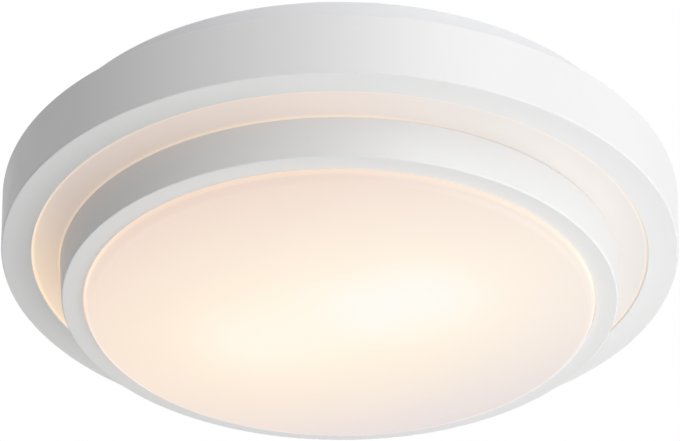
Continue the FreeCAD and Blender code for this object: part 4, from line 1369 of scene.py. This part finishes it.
@dataclass
class PhotoCamera:
    """Camera that stands where the photograph was taken, below the light."""

    distance: float = 1.4
    elevation: float = 31.47
    roll: float = -0.25
    lens: float = 142.7
    sensor: float = 36.0
    lift: float = 0.02525

    def build(self) -> None:
        """Make the camera and use it for the scene."""
        tilt = math.radians(self.elevation)
        turn = math.radians(PHOTO_TURN)
        ahead = Vector((-math.sin(turn), math.cos(turn), 0.0))
        centre = Vector((0.0, 0.0, OuterDrum.rim * MM))
        look = ahead * math.cos(tilt) + Vector((0.0, 0.0, math.sin(tilt)))
        upward = Vector((0.0, 0.0, math.cos(tilt))) - ahead * math.sin(tilt)
        data = bpy.data.cameras.new("photo_camera")
        data.lens = self.lens
        data.sensor_width = self.sensor
        camera = bpy.data.objects.new("photo_camera", data)
        bpy.context.scene.collection.objects.link(camera)
        camera.location = centre - look * self.distance
        aim = centre + upward * self.lift - camera.location
        camera.rotation_mode = "QUATERNION"
        spin = Quaternion(aim.normalized(), math.radians(self.roll))
        camera.rotation_quaternion = spin @ aim.to_track_quat("-Z", "Y")
        bpy.context.scene.camera = camera
        LOG.info("camera stands at %s", tuple(round(value, 3) for value in camera.location))


@dataclass(frozen=True)
class SoftLamp:
    """Round soft lamp, in metres right of, behind and above the light's middle, and in watts."""

    name: str
    place: Point
    size: float
    power: float
    lies_flat: bool = False

    def build(self, turn: Quaternion) -> None:
        """Make the lamp and point it at the light, or straight up if it lies flat.

        Args:
            turn: Turn from the camera's directions to the scene's.
        """
        data = bpy.data.lights.new(self.name, "AREA")
        data.shape = "DISK"
        data.size = self.size
        data.energy = self.power
        lamp = bpy.data.objects.new(self.name, data)
        bpy.context.scene.collection.objects.link(lamp)
        lamp.location = turn @ Vector(self.place)
        lamp.rotation_mode = "QUATERNION"
        back = Vector(DOWN) if self.lies_flat else lamp.location
        lamp.rotation_quaternion = back.to_track_quat("Z", "Y")
        lamp.visible_camera = False
        LOG.info("%s stands at %s", self.name, tuple(round(value, 2) for value in lamp.location))


FRONT_LAMP = SoftLamp("front_lamp", (0.70, -1.16, -0.22), size=1.1, power=4.7)
HIGH_LAMP = SoftLamp("high_lamp", (0.60, -1.02, 0.62), size=1.1, power=5.0)
LOW_LAMP = SoftLamp("low_lamp", (1.70, 0.19, -1.50), size=3.2, power=44.0, lies_flat=True)


@dataclass
class Studio:
    """Plain pale floor, white surroundings, two soft lamps in front and a wide one low on the right."""

    floor_level: float = -4.0
    floor_size: float = 60.0
    floor_color: Color = (0.82, 0.82, 0.82)
    floor_roughness: float = 0.9
    floor_seen: float = 0.62
    surround: float = 0.35
    lamps: tuple[SoftLamp, ...] = (FRONT_LAMP, HIGH_LAMP, LOW_LAMP)

    def build(self) -> None:
        """Make the floor, the world and the lamps."""
        self.build_floor()
        self.build_world()
        turn = Quaternion(UP, math.radians(PHOTO_TURN))
        for lamp in self.lamps:
            lamp.build(turn)

    def build_floor(self) -> None:
        """Make the floor, which isn't part of the light and looks paler than the light it throws back."""
        bpy.ops.object.select_all(action="DESELECT")
        bpy.ops.mesh.primitive_plane_add(size=self.floor_size, location=(0.0, 0.0, self.floor_level))
        floor = bpy.context.object
        floor.name = "studio_floor"
        tree = ShaderTree("studio_floor")
        seen = tree.math("MULTIPLY", self.seen_rays(tree.nodes, tree.links), self.floor_seen)
        tree.set(Base_Color=self.floor_color, Roughness=self.floor_roughness, Specular_IOR_Level=0.0)
        tree.set(Emission_Color=self.floor_color, Emission_Strength=seen)
        floor.data.materials.append(tree.material)

    def build_world(self) -> None:
        """White to the camera and in reflections, dimmer as light on the object."""
        world = bpy.data.worlds.new("studio")
        bpy.context.scene.world = world
        world.use_nodes = True
        nodes = world.node_tree.nodes
        links = world.node_tree.links
        background = nodes["Background"]
        background.inputs["Color"].default_value = (1.0, 1.0, 1.0, 1.0)
        level = nodes.new("ShaderNodeMapRange")
        level.inputs["To Min"].default_value = self.surround
        level.inputs["To Max"].default_value = 1.0
        links.new(self.seen_rays(nodes, links), level.inputs["Value"])
        links.new(level.outputs["Result"], background.inputs["Strength"])

    def seen_rays(self, nodes: bpy.types.Nodes, links: bpy.types.NodeLinks) -> Socket:
        """Tell the rays that see a surface from those that carry its light to the object.

        Args:
            nodes: Nodes of the tree that asks.
            links: Links of that tree.

        Returns:
            1 for the camera's rays and those seen in metal or glass, 0 for others.
        """
        path = nodes.new("ShaderNodeLightPath")
        seen = path.outputs["Is Camera Ray"]
        for name in ("Is Glossy Ray", "Is Transmission Ray"):
            either = nodes.new("ShaderNodeMath")
            either.operation = "MAXIMUM"
            links.new(seen, either.inputs[0])
            links.new(path.outputs[name], either.inputs[1])
            seen = either.outputs["Value"]
        return seen


def dress_cad_nodes() -> None:
    """Give every CAD node that shows its finish."""
    dress(WHITE_PLASTIC, "base_plate")
    dress(FOAM, "ceiling_gasket", "cover_seal")
    dress(GROMMET_RUBBER, "cable_grommet")
    dress(SPRING_STEEL, "spring_clips", "diffuser_tabs")
    dress(ZINC_STEEL, "clip_rivets", *both("bracket"))
    dress(TERMINAL_PLASTIC, "terminal_block")
    dress(BRASS, "terminal_inserts", *both("holder_contact"))
    dress(HOLDER_CERAMIC, *both("holder_shell"), *both("holder_back"))
    dress(NICKEL, *both("lamp_sleeve"))
    dress(LAMP_OPAL, *both("bulb_dome"))
    dress(LAMP_PLASTIC, *both("bulb_housing"))
    dress(BOARD, *both("bulb_board"))
    dress(INSULATOR, *both("bulb_insulator"))
    dress(SOLDER, *both("bulb_tip"))
    dress(BROWN_WIRE, *both("wire_upper"))
    dress(BLUE_WIRE, *both("wire_lower"))


def main() -> None:
    """Build the pieces in order, then the studio and the camera."""
    logging.basicConfig(level=logging.INFO, format="%(name)s: %(message)s")
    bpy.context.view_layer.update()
    OuterDrum().build(WHITE_LACQUER)
    InnerRing().build(WHITE_LACQUER)
    StripDiffuser().build(STRIP_OPAL)
    DiscDiffuser().build(DISC_OPAL)
    PanSkirt().build(WHITE_PLASTIC)
    Fastenings().build(ZINC_STEEL)
    ThreadedCaps().build(NICKEL)
    dress_cad_nodes()
    Studio().build()
    PhotoCamera().build()
    bpy.context.scene.view_settings.view_transform = "Standard"


if __name__ == "__main__":
    main()
